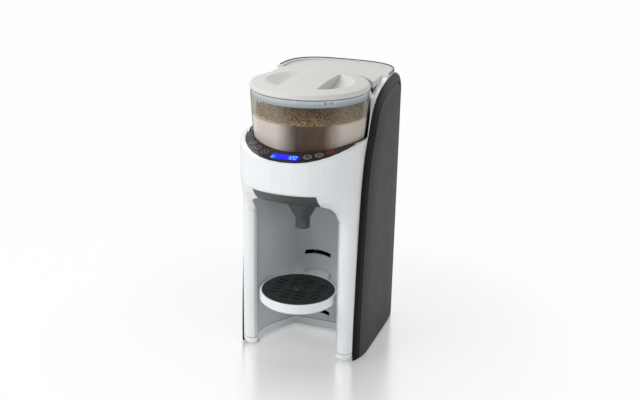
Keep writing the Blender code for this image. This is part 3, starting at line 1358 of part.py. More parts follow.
def grille_slots():
    """Centres of the grille's slots: rows across, with the boss left clear."""
    found = []
    limit = TRAY_RADIUS - TRAY_STEP - GRILLE_EDGE
    for row in range(GRILLE_ROWS):
        y = GRILLE_ROW_PITCH * (row - (GRILLE_ROWS - 1) / 2)
        for column in range(GRILLE_COLUMNS):
            x = GRILLE_COLUMN_PITCH * (column - (GRILLE_COLUMNS - 1) / 2)
            near, far = abs(x) - GRILLE_SLOT_LENGTH / 2, abs(x) + GRILLE_SLOT_LENGTH / 2
            clear = near > GRILLE_BOSS_RADIUS or abs(y) > GRILLE_BOSS_RADIUS + GRILLE_SLOT_WIDTH
            if math.hypot(far, y) < limit and clear:
                found.append((x, y))
    return found


def make_grille():
    low = TRAY_TOP_Z - GRILLE_THICK
    top = TRAY_TOP_Z + GRILLE_BOSS_HEIGHT
    rim = circle(TRAY_RADIUS - TRAY_STEP, STEPS_LARGE, TRAY_PLACE)
    grille = prism(rim, low, TRAY_TOP_Z)
    wide = GRILLE_BOSS_RADIUS
    levels = (wide, low + GRILLE_THICK / 2), (wide, TRAY_TOP_Z), (wide / 2, top)
    boss = loft([[(x, y, z) for x, y in circle(radius, STEPS_SMALL, TRAY_PLACE)] for radius, z in levels])
    grille = union(grille, boss)
    half, width = GRILLE_SLOT_LENGTH / 2, GRILLE_SLOT_WIDTH / 2
    vertices, faces = [], []
    for x, y in grille_slots():
        y += TRAY_CENTRE_Y
        outline = [(x - half, y), (x - half + width, y - width), (x + half - width, y - width), (x + half, y),
                   (x + half - width, y + width), (x - half + width, y + width)]
        one = prism(outline, low - OVERRUN, TRAY_TOP_Z + OVERRUN)
        first = len(vertices)
        vertices += [tuple(vertex.co) for vertex in one.data.vertices]
        faces += [tuple(first + index for index in face.vertices) for face in one.data.polygons]
        bpy.data.objects.remove(one, do_unlink=True)
    return tidy(cut(grille, solid(vertices, faces)))


# Water tank

def tank_block(half, depth, arc, low, high, bulge_half, bulge_depth):
    outline = both_sides([(half, TANK_FRONT_Y)] + rear_corner(half, depth))
    tank = prism(outline, low, high)
    bulge = rear_plan(BODY_HALF, bulge_depth, low, high)
    span = (CORNER_START_Y, AXIS_TO_REAR + OVERRUN)
    bulge = common(bulge, block((-bulge_half, bulge_half), span, (low, high)))
    tank = union(tank, bulge)
    return cut(tank, rod(arc, 0, HEIGHT * 2, steps=STEPS_LARGE))


def make_tank():
    wall = TANK_WALL
    arc, low, floor = TANK_ARC_RADIUS, TANK_BOTTOM_Z, TANK_BOTTOM_Z + TANK_FLOOR
    tank = tank_block(TANK_HALF, TANK_DEPTH, arc, low, TANK_TOP_Z, BULGE_HALF, BULGE_DEPTH)
    space = tank_block(TANK_HALF - wall, TANK_DEPTH - wall, arc + wall, floor, HEIGHT + OVERRUN,
                       BULGE_HALF - wall, BULGE_DEPTH - wall)
    trim = block((-SHELL_HALF, SHELL_HALF), (0, TANK_FRONT_Y + wall), (0, HEIGHT * 2))
    tank = cut(tank, cut(space, trim))
    tank = cut(tank, rod(VALVE_HOLE_RADIUS, 0, HEIGHT / 2 + OVERRUN, (0, VALVE_Y), STEPS_MEDIUM))
    top = floor + CAGE_HEIGHT
    depth = (VALVE_Y - CAGE_WIDTH / 2, VALVE_Y + CAGE_WIDTH / 2)
    cage = block((-CAGE_HALF, CAGE_HALF), depth, (floor - GAP, top))
    gate = CAGE_HALF - CAGE_THICK + GAP
    cage = cut(cage, block((-gate, gate), (0, AXIS_TO_REAR), (0, top - CAGE_THICK)))
    cage = cut(cage, rod(VALVE_STEM_RADIUS + GAP, 0, HEIGHT, (0, VALVE_Y)))
    tank = union(tank, cage)
    for side in (-1, 1):
        limits = sorted((side * KNUCKLE_INNER, side * KNUCKLE_OUTER))
        tank = union(tank, bar(KNUCKLE_RADIUS, limits[0], limits[1], (HINGE_Y, HINGE_Z), "X", STEPS_SMALL))
    middle = KNUCKLE_INNER
    tank = cut(tank, bar(KNUCKLE_RADIUS + RUN_GAP, -middle, middle, (HINGE_Y, HINGE_Z), "X", STEPS_SMALL))
    return tidy(cut(tank, pin_bore()))


def pin_bore():
    reach = KNUCKLE_OUTER + OVERRUN
    return bar(PIN_RADIUS + GAP, -reach, reach, (HINGE_Y, HINGE_Z), "X", STEPS_SMALL)


def make_tank_lid():
    """White top behind the container: a plate with a raised rim and a sunk middle."""
    half = SHELL_HALF
    outline = [(half, SHOULDER_END_Y + GAP)] + rear_corner(half, TANK_LID_DEPTH)
    lid = prism(both_sides(outline), LID_PLATE_Z, TANK_LID_TOP_Z)
    narrow = SHOULDER_HALF - GAP
    front = block((-narrow, narrow), (0, SHOULDER_END_Y + GAP * 2), (LID_PLATE_Z, TANK_LID_TOP_Z))
    lid = union(lid, front)
    lid = cut(lid, rod(WELL_RADIUS + WELL_WALL + GAP, 0, HEIGHT * 2, steps=STEPS_LARGE))
    rim = TANK_LID_RIM
    sunk = [(half - rim, SHOULDER_END_Y)] + rear_corner(half - rim, TANK_LID_DEPTH - rim)
    sunk = prism(both_sides(sunk), TANK_LID_TOP_Z - TANK_LID_SINK, HEIGHT * 2)
    lid = cut(lid, sunk)
    under = [(half - rim / 2, SHOULDER_END_Y + rim)] + rear_corner(half - rim / 2, TANK_LID_DEPTH - rim / 2)
    under = prism(both_sides(under), 0, TANK_LID_TOP_Z - TANK_LID_SINK - TANK_LID_PLATE)
    lid = cut(lid, under)
    for side in (-1, 1):
        limits = sorted((side * (KNUCKLE_INNER - RUN_GAP), side * (KNUCKLE_OUTER + RUN_GAP)))
        lid = cut(lid, bar(KNUCKLE_RADIUS + RUN_GAP, limits[0], limits[1], (HINGE_Y, HINGE_Z), "X"))
    middle = KNUCKLE_INNER - RUN_GAP
    lid = union(lid, bar(KNUCKLE_RADIUS, -middle, middle, (HINGE_Y, HINGE_Z), "X"))
    return tidy(cut(lid, pin_bore()))


def make_valve():
    seat = TANK_BOTTOM_Z + TANK_FLOOR + GAP
    low = TANK_BOTTOM_Z + GAP
    top = seat + VALVE_STEM_RISE
    return turned([(0, low), (VALVE_STEM_RADIUS, low), (VALVE_STEM_RADIUS, seat), (VALVE_DISC_RADIUS, seat),
                   (VALVE_DISC_RADIUS, seat + VALVE_DISC), (VALVE_STEM_RADIUS, seat + VALVE_DISC),
                   (VALVE_STEM_RADIUS, top), (0, top)], (0, VALVE_Y), STEPS_MEDIUM)


def make_spring():
    low = TANK_BOTTOM_Z + TANK_FLOOR + GAP + VALVE_DISC + GAP + SPRING_WIRE
    high = TANK_BOTTOM_Z + TANK_FLOOR + CAGE_HEIGHT - CAGE_THICK - GAP - SPRING_WIRE
    count = SPRING_TURNS * SPRING_POINTS
    points = []
    for k in range(count + 1):
        angle = 2 * math.pi * k / SPRING_POINTS
        points.append((SPRING_RADIUS * math.cos(angle), VALVE_Y + SPRING_RADIUS * math.sin(angle),
                       low + (high - low) * k / count))
    return tube(points, SPRING_WIRE, 1)


def tube(points, radius, resolution=2):
    """A bent tube along points, with closed ends."""
    data = bpy.data.curves.new("work", "CURVE")
    data.dimensions = "3D"
    line = data.splines.new("POLY")
    line.points.add(len(points) - 1)
    for spot, point in zip(line.points, points):
        spot.co = (*point, 1)
    data.bevel_depth = radius
    data.bevel_resolution = resolution
    data.use_fill_caps = True
    curve = bpy.data.objects.new("work", data)
    bpy.context.scene.collection.objects.link(curve)
    bpy.context.view_layer.update()
    mesh = bpy.data.meshes.new_from_object(curve.evaluated_get(bpy.context.evaluated_depsgraph_get()))
    obj = bpy.data.objects.new("work", mesh)
    bpy.context.scene.collection.objects.link(obj)
    bpy.data.objects.remove(curve, do_unlink=True)
    shape = bmesh.new()
    shape.from_mesh(mesh)
    bmesh.ops.remove_doubles(shape, verts=shape.verts, dist=WELD)
    bmesh.ops.recalc_face_normals(shape, faces=shape.faces)
    shape.to_mesh(mesh)
    shape.free()
    return obj


def make_socket():
    """Ring in the shelf that takes the tank's outlet, with the pin that opens the valve."""
    top = SHELF_Z + SHELF_THICK + GAP
    low = top - SOCKET_LENGTH
    socket = turned([(0, low), (SOCKET_RADIUS, low), (SOCKET_RADIUS, top), (SOCKET_FLANGE_RADIUS, top),
                     (SOCKET_FLANGE_RADIUS, top + SOCKET_FLANGE), (SOCKET_BORE, top + SOCKET_FLANGE),
                     (SOCKET_BORE, low + SOCKET_FLANGE), (SOCKET_PIN_RADIUS, low + SOCKET_FLANGE),
                     (SOCKET_PIN_RADIUS, TANK_BOTTOM_Z), (0, TANK_BOTTOM_Z)], (0, VALVE_Y), STEPS_MEDIUM)
    return union(socket, rod(PORT_RADIUS, low - PORT_LENGTH, low + GAP, (0, VALVE_Y)))


# Water path and electrics

def make_pump():
    low = MACHINERY_Z
    top = low + PUMP_HEIGHT
    depth = (PUMP_Y - PUMP_LENGTH_HALF, PUMP_Y + PUMP_LENGTH_HALF)
    pump = block((PUMP_X - PUMP_HALF, PUMP_X + PUMP_HALF), depth, (low, top))
    motor_top = top + PUMP_MOTOR_LENGTH
    pump = union(pump, rod(PUMP_MOTOR_RADIUS, top - GAP, motor_top, (PUMP_X, PUMP_Y), STEPS_MEDIUM))
    for place_y in pump_ports():
        pump = union(pump, rod(PORT_RADIUS, top - GAP, top + PORT_LENGTH, (PUMP_X, place_y)))
    return tidy(pump)


def pump_ports():
    reach = PUMP_LENGTH_HALF - PORT_RADIUS * 2
    return PUMP_Y + reach, PUMP_Y - reach


def make_boiler():
    low = MACHINERY_Z
    foot, top = low + BOILER_FOOT, low + BOILER_HEIGHT
    wide, radius, port, port_top = BOILER_FOOT_RADIUS, BOILER_RADIUS, PORT_RADIUS, top + PORT_LENGTH
    boiler = turned([(0, low), (wide, low), (wide, foot), (radius, foot), (radius, top), (port, top),
                     (port, port_top), (0, port_top)], (BOILER_X, BOILER_Y), STEPS_MEDIUM)
    inlet = bar(port, BOILER_X - radius - PORT_LENGTH, BOILER_X, (BOILER_Y, foot + PORT_LENGTH), "X")
    return tidy(union(boiler, inlet))


def bent_route(points):
    """A smooth route through places, straight at both ends, as points close enough for a tube."""
    middle = [tuple(p) for p in smooth_curve(points[1:-1], ROUTE_STEPS)]
    return [points[0]] + middle + [points[-1]]


def make_inlet_tube():
    start_z = SHELF_Z + SHELF_THICK + GAP - SOCKET_LENGTH - PORT_LENGTH - GAP
    end_z = MACHINERY_Z + PUMP_HEIGHT + PORT_LENGTH + GAP
    y = pump_ports()[0]
    drop = PORT_LENGTH * 2
    route = [(0, VALVE_Y, start_z), (0, VALVE_Y, start_z - drop / 2), (0, VALVE_Y, start_z - drop),
             (PUMP_X / 2, (VALVE_Y + y) / 2, (start_z + end_z) / 2), (PUMP_X, y, end_z + drop),
             (PUMP_X, y, end_z + drop / 2), (PUMP_X, y, end_z)]
    return tube(bent_route(route), TUBE_RADIUS)


def make_pump_tube():
    start_z = MACHINERY_Z + PUMP_HEIGHT + PORT_LENGTH + GAP
    end_x = BOILER_X - BOILER_RADIUS - PORT_LENGTH - GAP
    end_z = MACHINERY_Z + BOILER_FOOT + PORT_LENGTH
    y = pump_ports()[1]
    drop = PORT_LENGTH * 2
    middle_x = (PUMP_X + end_x) / 2
    beyond_y = BOARD_Y + BOARD_LENGTH + TUBE_RADIUS * 3
    route = [(PUMP_X, y, start_z), (PUMP_X, y, start_z + drop / 4), (PUMP_X, y, start_z + drop * 2 / 3),
             (PUMP_X + PUMP_HALF * 5 / 4, y, start_z + drop), (middle_x, beyond_y, (start_z + end_z) / 2),
             (BOARD_X, beyond_y, (start_z + end_z * 2) / 3), (end_x - PORT_LENGTH / 2, BOILER_Y, end_z),
             (end_x, BOILER_Y, end_z)]
    return tube(bent_route(route), TUBE_RADIUS)


def nozzle_port():
    stem_y = NOZZLE_Y + NOZZLE_RADIUS
    return stem_y + PORT_LENGTH, NOZZLE_END_Z + NOZZLE_TIP + NOZZLE_RADIUS


def make_outlet_tube():
    start_z = MACHINERY_Z + BOILER_HEIGHT + PORT_LENGTH + GAP
    port_y, port_z = nozzle_port()
    passage_y = (BAY_REAR_Y + LINER_WALL + SHELF_FRONT_Y) / 2
    drop = PORT_LENGTH * 2
    bend_x = (BOILER_X * 2 + NOZZLE_X) / 3
    route = [(BOILER_X, BOILER_Y, start_z), (BOILER_X, BOILER_Y, start_z + drop / 2),
             (BOILER_X, (BOILER_Y + passage_y) / 2, (start_z + SHELF_Z) / 2), (BOILER_X, passage_y, SHELF_Z),
             (BOILER_X, passage_y, port_z - drop), (bend_x, (passage_y + port_y + drop) / 2, port_z),
             (NOZZLE_X, port_y + drop, port_z), (NOZZLE_X, port_y + GAP, port_z)]
    return tube(bent_route(route), TUBE_RADIUS)


def make_nozzle():
    top = DECK_TOP_Z - DECK_THICK - GAP
    port_y, port_z = nozzle_port()
    tip = NOZZLE_END_Z + NOZZLE_TIP
    low, radius = NOZZLE_END_Z, NOZZLE_RADIUS
    profile = [(0, low), (NOZZLE_TIP_RADIUS, low), (radius, tip), (radius, top), (0, top)]
    nozzle = turned(profile, (NOZZLE_X, NOZZLE_Y))
    nozzle = union(nozzle, bar(PORT_RADIUS, NOZZLE_Y, port_y, (NOZZLE_X, port_z), "Y"))
    return tidy(nozzle)


def make_main_board():
    low = MACHINERY_Z
    half = BOARD_THICK / 2
    depth = (BOARD_Y, BOARD_Y + BOARD_LENGTH)
    board = block((BOARD_X - half, BOARD_X + half), depth, (low, low + BOARD_HEIGHT))
    for k in range(PARTS_ON_BOARD):
        y = BOARD_Y + PART_SIZE / 2 + PART_PITCH * k
        z = low + PART_SIZE * (k + 2)
        board = union(board, block((BOARD_X, BOARD_X + PART_SIZE), (y, y + PART_SIZE), (z, z + PART_SIZE)))
    return tidy(board)


# Assembly

def clear_scene():
    for obj in list(bpy.data.objects):
        bpy.data.objects.remove(obj, do_unlink=True)


def build():
    clear_scene()
    datum = bpy.data.objects.new("container_axis", None)
    bpy.context.scene.collection.objects.link(datum)
    datum.location = (0, AXIS_Y, 0)

    def put(obj, name, finish, origin=(0, 0, 0)):
        return place(obj, name, finish, datum, origin)

    put(make_front_shell(), "front_shell", "white_gloss")
    put(make_bay_liner(), "bay_liner", "white_gloss")
    put(make_plinth(), "base_plinth", "white_gloss")
    panel, band = make_side()
    put(mirrored(panel), "side_panel_left", "graphite")
    put(mirrored(band), "side_trim_left", "black_gloss")
    put(panel, "side_panel_right", "graphite")
    put(band, "side_trim_right", "black_gloss")
    put(make_rear_cover(), "rear_cover", "graphite")
    put(make_gland(), "cord_gland", "rubber")
    put(make_shelf(), "tank_shelf", "grey_plastic")

    put(make_fascia(), "control_panel", "black_gloss")
    put(make_lcd(), "lcd_display", "display_blue")
    put(make_display_board(), "display_board", "board_green")
    number = 0
    for side in (-1, 1):
        for x, y in button_places():
            number += 1
            put(make_button(side * x, y), "button_" + str(number), "black_satin", (side * x, y, crown_z(y)))

    put(make_seat(), "container_seat", "white_gloss")
    put(make_deck(), "motor_deck", "grey_plastic")
    put(make_motor(), "gear_motor", "steel")
    put(make_pinion(), "motor_pinion", "acetal", (*MOTOR_PLACE, GEAR_Z))
    put(make_drive_gear(), "drive_gear", "acetal", (0, 0, GEAR_Z))

    put(make_container(), "powder_container", "clear", (0, 0, CONTAINER_Z))
    put(make_powder(), "formula_powder", "powder", (0, 0, CONTAINER_Z))
    put(make_dosing_wheel(), "dosing_wheel", "acetal", (0, 0, CONTAINER_Z))
    put(make_stir_wheel(), "stir_wheel", "acetal", (0, 0, CONTAINER_Z))
    put(make_lid(), "powder_lid", "white_satin", (0, 0, LID_UNDER_Z))
    put(make_lid_band(), "lid_band", "band_blue", (0, 0, LID_UNDER_Z))
    put(make_lid_seal(), "lid_seal", "silicone", (0, 0, LID_UNDER_Z))

    put(make_funnel(), "funnel", "funnel_grey", (0, SPOUT_Y, SPOUT_END_Z))
    tray_origin = (0, TRAY_CENTRE_Y, TRAY_TOP_Z - TRAY_DEPTH)
    put(make_tray(), "drip_tray", "white_gloss", tray_origin)
    put(make_grille(), "drip_grille", "black_satin", (0, TRAY_CENTRE_Y, TRAY_TOP_Z))

    tank_origin = (0, VALVE_Y, TANK_BOTTOM_Z)
    hinge_origin = (0, HINGE_Y, HINGE_Z)
    put(make_tank(), "water_tank", "smoke", tank_origin)
    put(make_valve(), "tank_valve", "silicone", tank_origin)
    put(make_spring(), "valve_spring", "steel", tank_origin)
    put(make_socket(), "tank_socket", "grey_plastic")
    put(make_tank_lid(), "tank_lid", "white_satin", hinge_origin)
    reach = KNUCKLE_OUTER - GAP
    put(bar(PIN_RADIUS, -reach, reach, (HINGE_Y, HINGE_Z), "X"), "tank_hinge_pin", "steel", hinge_origin)

    put(make_pump(), "water_pump", "grey_plastic")
    put(make_boiler(), "boiler", "steel")
    put(make_inlet_tube(), "inlet_tube", "silicone")
    put(make_pump_tube(), "pump_tube", "silicone")
    put(make_outlet_tube(), "outlet_tube", "silicone")
    put(make_nozzle(), "water_nozzle", "grey_plastic")
    put(make_main_board(), "main_board", "board_green")

    number = 0
    foot_places = (FRONT_FOOT_X, FRONT_FOOT_Y), (REAR_FOOT_X, REAR_FOOT_Y)
    for (x, y), (boss_x, boss_y) in zip(foot_places, ((FRONT_BOSS_X, FRONT_BOSS_Y), (POST_X, POST_Y))):
        for side in (-1, 1):
            number += 1
            foot = rod(FOOT_RADIUS, 0, PLINTH_BOTTOM_Z - GAP, (side * x, y), STEPS_MEDIUM)
            put(foot, "rubber_foot_" + str(number), "rubber")
            put(make_base_screw(side * boss_x, boss_y), "base_screw_" + str(number), "steel")
    number = 0
    for z in (COVER_SCREW_LOW_Z, COVER_SCREW_HIGH_Z):
        for side in (-1, 1):
            number += 1
            put(make_cover_screw(side * COVER_SCREW_X, z), "cover_screw_" + str(number), "steel")


build()
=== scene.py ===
"""Looks of the baby formula maker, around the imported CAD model.

Metres, +Z up, front towards -Y. The powder container's axis is at X = 0, Y = AXIS_Y.
"""
import math

import bmesh
import bpy
from mathutils import Matrix, Vector, noise
from mathutils.bvhtree import BVHTree


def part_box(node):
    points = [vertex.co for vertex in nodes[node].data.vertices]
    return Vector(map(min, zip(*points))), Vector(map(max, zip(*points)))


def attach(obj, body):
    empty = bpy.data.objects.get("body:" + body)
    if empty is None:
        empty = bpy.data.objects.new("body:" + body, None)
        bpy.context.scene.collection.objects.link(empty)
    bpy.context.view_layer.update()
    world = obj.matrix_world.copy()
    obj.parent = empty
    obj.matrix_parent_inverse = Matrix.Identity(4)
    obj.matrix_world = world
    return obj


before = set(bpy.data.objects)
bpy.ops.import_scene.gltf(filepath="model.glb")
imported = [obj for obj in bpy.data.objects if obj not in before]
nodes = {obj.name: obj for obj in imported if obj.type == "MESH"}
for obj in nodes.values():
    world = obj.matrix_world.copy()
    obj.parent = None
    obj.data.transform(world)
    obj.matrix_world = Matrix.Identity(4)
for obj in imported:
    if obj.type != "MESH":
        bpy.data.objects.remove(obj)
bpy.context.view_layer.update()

MM = 0.001
AXIS_Y = -34.5 * MM

# Camera, as fitted to the photograph
CAMERA_AZIMUTH = math.radians(19.47)
CAMERA_PITCH = math.radians(19.83)
CAMERA_ROLL = math.radians(1.10)
CAMERA_DISTANCE = 1423.41 * MM
CAMERA_AIM_HEIGHT = 200 * MM
CAMERA_AIM_RIGHT = 16.4606 * MM
CAMERA_AIM_UP = 22.3613 * MM
FOCAL_PIXELS = 994.4
PHOTO_WIDTH = 640
SENSOR = 36

# Lamps: name, place, width and height, watts
LAMPS = (
    ("key", (-1.0, -1.0, 1.0), (1.0, 1.0), 14),
    ("fill", (1.3, -0.8, 0.6), (0.7, 1.2), 5),
    ("top", (-0.5, 0.5, 1.5), (1.0, 1.0), 6),
)
LAMP_AIM = (0, 0, 0.2)
WORLD_LIGHT = 0.34

# Floor: how far from its middle the shadow and the reflection fade
FLOOR_REACH = 6.0
FLOOR_FADE_FROM = 0.12
FLOOR_FADE_TO = 0.42
FLOOR_TONE = 0.92
FLOOR_WHITE = 0.97
FLOOR_SHADOW = 0.35
FLOOR_MIRROR = 0.42
MIRROR_TONE = 0.98
MIRROR_ROUGHNESS = 0.22

# Noise patterns: scale, detail and roughness
CLOUD = (18, 4, 0.5)
SMUDGE = (55, 5, 0.6)
GRAIN = (900, 2, 0.5)
PEEL = (260, 1, 0.5)
HAZE = (40, 4, 0.5)
DUST = (90, 5, 0.7)
RUBBER_GRAIN = (1500, 2, 0.5)
DISPLAY_CLOUD = (60, 2, 0.5)
POWDER_CLOUD = (45, 5, 0.6)
PRINT_CLOUD = (300, 2, 0.5)
FLOOR_CLOUD = (2, 2, 0.5)
BRUSHED = (120, 3, 0.5)
BRUSH_STRETCH = (1, 1, 40)
BRUSH_TONE_SHARE = 0.85
BRUSH_UNEVEN = 0.15
BRUSH_RELIEF = 0.1
BRUSH_DEPTH = 0.05 * MM

# Moulded plastic, and the shade that the joint line round the foot gathers
SURFACE_DEPTH = 0.1 * MM
COAT_ROUGHNESS = 0.05
SMUDGE_SHARE = 0.3
SMOOTH_SHARE = 0.85
SEAM_Z = 15 * MM
SEAM_SHADE = 0.6 * MM
SEAM_STRENGTH = 1.6
SEAM_TONE_SHARE = 0.25

# Soft rubber, and the dust on it
DUST_SHARE = 1.8
DUST_LIFT = 0.01
RUBBER_RELIEF = 0.3

# Clear walls, by how far they are turned away: 0 is seen square on, 1 from the side
# Towards the sides a pale, lit layer is mixed in as a painted reflection, and at the very edge a dark one as
# painted shade
SIDE_FROM = 0.07
SIDE_TO = 0.22
EDGE_FROM = 0.60
EDGE_TO = 0.72
EDGE_VEIL = 0.35
RIM_FROM = 0.76
RIM_TO = 0.86
RIM_TONE = (0.05, 0.048, 0.045, 1)
HAZE_VEIL = 0.03
FILLED_FADE = 4 * MM
FILLED_UNEVEN = 3 * MM
# Tones of the painted reflection on a filled wall, below and above the powder's top
FILLED_TONE = (0.80, 0.72, 0.65, 1)
EMPTY_TONE = (0.62, 0.53, 0.44, 1)
EMPTY_VEIL_SHARE = 0.2

# The coloured band at the container's rim, by height over its lower edge: lighter towards its top as a
# painted highlight, with a painted shadow under the lid's rim
BAND_SOFT = 0.3 * MM
BAND_HIGHLIGHT_FROM = 2 * MM
BAND_HIGHLIGHT_TO = 8 * MM
BAND_SHADOW_FROM = 8.2 * MM
BAND_SHADOW_TO = 9.6 * MM

# The display's lit mark: its place from the display's lower left corner, and its glow
GLOW_RIGHT = 1.6 * MM
GLOW_BACK = 3.0 * MM
GLOW_UP = 2.4 * MM
GLOW_FROM = 1.0 * MM
GLOW_TO = 6.5 * MM
GLOW_SHARE = 0.6

# Marks stand a little proud of what carries them, and reach a little into it
MARK_SINK = -0.02 * MM
MARK_PROUD = 0.09 * MM
ABOVE = 1
SEARCH_STEPS = 40
SEARCH_SHARE = 0.03

# Rings and signs on the buttons
BUTTON_COUNT = 6
RED_BUTTON = 6
LAST_LEFT_BUTTON = 3
BUTTON_TURN = 1.25
RING_HALF = 4.9 * MM
RING_DEPTH_HALF = 4.7 * MM
RING_WIDTH = 0.75 * MM
RING_STEPS = 40
SIGN_WIDTH = 0.7 * MM

# Digits and drop on the display
DISPLAY_DIGITS = "120"
DIGIT_START = 3.4 * MM
DIGIT_PITCH = 4.6 * MM
DIGIT_WIDTH = 3.0 * MM
DIGIT_LEAN = 0.6 * MM
DIGIT_SHARE = 0.62
DIGIT_STROKE = 0.75 * MM
SEGMENT_ENDS = {
    "a": ((0.1, 1), (0.9, 1)),
    "b": ((1, 0.96), (1, 0.56)),
    "c": ((1, 0.44), (1, 0.04)),
    "d": ((0.1, 0), (0.9, 0)),
    "e": ((0, 0.44), (0, 0.04)),
    "f": ((0, 0.96), (0, 0.56)),
    "g": ((0.1, 0.5), (0.9, 0.5)),
}
DIGIT_SEGMENTS = {"0": "abcdef", "1": "bc", "2": "abged"}
DROP_STROKES = (
    (1.5 * MM, ((0, -0.4 * MM), (0, 0.5 * MM))),
    (0.6 * MM, ((0, 0.5 * MM), (0, 2.0 * MM))),
)

# Lock signs and the arrow between them, in millimetres round and up the band; True closes the line
BAND_MARK_ANGLE = math.radians(38)
BAND_MARK_Z = 384.5 * MM
BAND_SIGNS = (
    ([(-6.2, -1.2), (-4.2, -1.2), (-4.2, 0.4), (-6.2, 0.4)], True),
    ([(-5.9, 0.6), (-5.9, 1.6), (-4.6, 1.9)], False),
    ([(-2.6, -0.2), (1.6, -0.2)], False),
    ([(0.6, 0.9), (1.8, -0.2), (0.6, -1.3)], False),
    ([(3.6, -1.2), (5.6, -1.2), (5.6, 0.4), (3.6, 0.4)], True),
    ([(3.9, 0.6), (4.0, 1.6), (5.2, 1.6), (5.3, 0.6)], False),
)

# Edging strip of the water tank's lid
EDGING_START = -8
EDGING_STEPS = 96
EDGING_INSET = 0.5 * MM
EDGING_WIDTH = 1.3 * MM
EDGING_RISE = 1.1 * MM
EDGING_PROBE = 0.5

# Loose top of the powder, and its crumbs
HEAP_RINGS = 36
HEAP_STEPS = 110
HEAP_INSET = 0.4 * MM
HEAP_LUMPS = 150
HEAP_RISE = 2.0 * MM
HEAP_SLOPE = 1.6 * MM
HEAP_RELIEF = 1.6 * MM
HEAP_LEAST = 0.5 * MM
HEAP_FOOT = 0.05 * MM
HEAP_FRACTAL = (1.0, 2.0, 4)
CRUMB_DENSITY = 260000
CRUMB_RADIUS = 0.9 * MM
CRUMB_LEAST = (0.45, 0.45, 0.4)
CRUMB_MOST = (1.5, 1.3, 1.1)
CRUMB_FACING = 0.35
PLACE_SEED = 7
SIZE_SEED = 3
TURN_SEED = 5


# Node trees

class Reading:
    """A socket in a node tree. Sums, differences and products of it add Math nodes."""

    def __init__(self, tree, socket):
        self.tree = tree
        self.socket = socket

    def maths(self, operation, first, second):
        return self.tree.node("Math", {"operation": operation}, {0: first, 1: second})

    def __add__(self, other):
        return self.maths("ADD", self, other)

    def __radd__(self, other):
        return self.maths("ADD", other, self)

    def __sub__(self, other):
        return self.maths("SUBTRACT", self, other)

    def __rsub__(self, other):
        return self.maths("SUBTRACT", other, self)

    def __mul__(self, other):
        return self.maths("MULTIPLY", self, other)

    def __rmul__(self, other):
        return self.maths("MULTIPLY", other, self)


def set_stops(ramp, stops):
    while len(ramp.elements) < len(stops):
        ramp.elements.new(1)
    for element, (position, colour) in zip(ramp.elements, stops):
        element.position = position
        element.color = (*colour, 1)


class Tree:
    """A node tree, and the one way in which nodes come into it."""

    def __init__(self, built):
        self.built = built
        self.built.nodes.clear()

    def node(self, kind, settings=None, sockets=None, output=0):
        """Add a node: its settings first, then the values or links of its sockets.

        Kind is the node's type, and a shader's node goes without its ShaderNode. A list links
        several sockets to one, in that order.
        """
        made = self.built.nodes.new(kind if "Node" in kind else "ShaderNode" + kind)
        for key, value in (settings or {}).items():
            if key == "stops":
                set_stops(made.color_ramp, value)
            else:
                setattr(made, key, value)
        for key, value in (sockets or {}).items():
            for part in value if isinstance(value, list) else [value]:
                if isinstance(part, Reading):
                    self.built.links.new(part.socket, made.inputs[key])
                else:
                    made.inputs[key].default_value = part
        return Reading(self, made.outputs[output]) if made.outputs else None


class Finish(Tree):
    """A material's tree."""

    def __init__(self, name):
        self.material = bpy.data.materials.new(name)
        self.material.use_nodes = True
        super().__init__(self.material.node_tree)

    def place(self):
        return self.node("TexCoord", output="Object")

    def noise(self, scale, detail, roughness):
        return self.node("TexNoise", {}, {"Vector": self.place(), "Scale": scale, "Detail": detail,
                                          "Roughness": roughness})

    def height(self):
        return self.node("SeparateXYZ", {}, {0: self.place()}, output="Z")

    def ramp(self, value, low, high):
        """0 below the low value, 1 above the high one."""
        return self.node("MapRange", {"clamp": True}, {"Value": value, "From Min": low, "From Max": high})

    def vector(self, operation, first, second, output=0):
        return self.node("VectorMath", {"operation": operation}, {0: first, 1: second}, output)

    def distance(self, centre):
        return self.vector("DISTANCE", self.place(), centre, "Value")

    def blend(self, factor, first, second):
        return self.node("Mix", {"data_type": "RGBA"}, {0: factor, 6: first, 7: second}, output=2)

    def bump(self, height, strength, distance):
        return self.node("Bump", {}, {"Height": height, "Strength": strength, "Distance": distance})

    def plastic(self, sockets):
        return self.node("BsdfPrincipled", {}, sockets)

    def cover(self, factor, under_coat, over_coat):
        return self.node("MixShader", {}, {0: factor, 1: under_coat, 2: over_coat})

    def close(self, surface):
        self.node("OutputMaterial", {}, {"Surface": surface})
        return self.material


def rgb(text):
    """Linear colour of a web colour."""
    found = []
    for k in (0, 2, 4):
        value = int(text[k:k + 2], 16) / 255
        found.append(value / 12.92 if value <= 0.04045 else ((value + 0.055) / 1.055) ** 2.4)
    return tuple(found)


def opaque(colour, share=1, lift=0):
    """A colour as a socket takes it, made darker by a share or lifted."""
    return (*[c * share + lift for c in colour], 1)


# Finishes

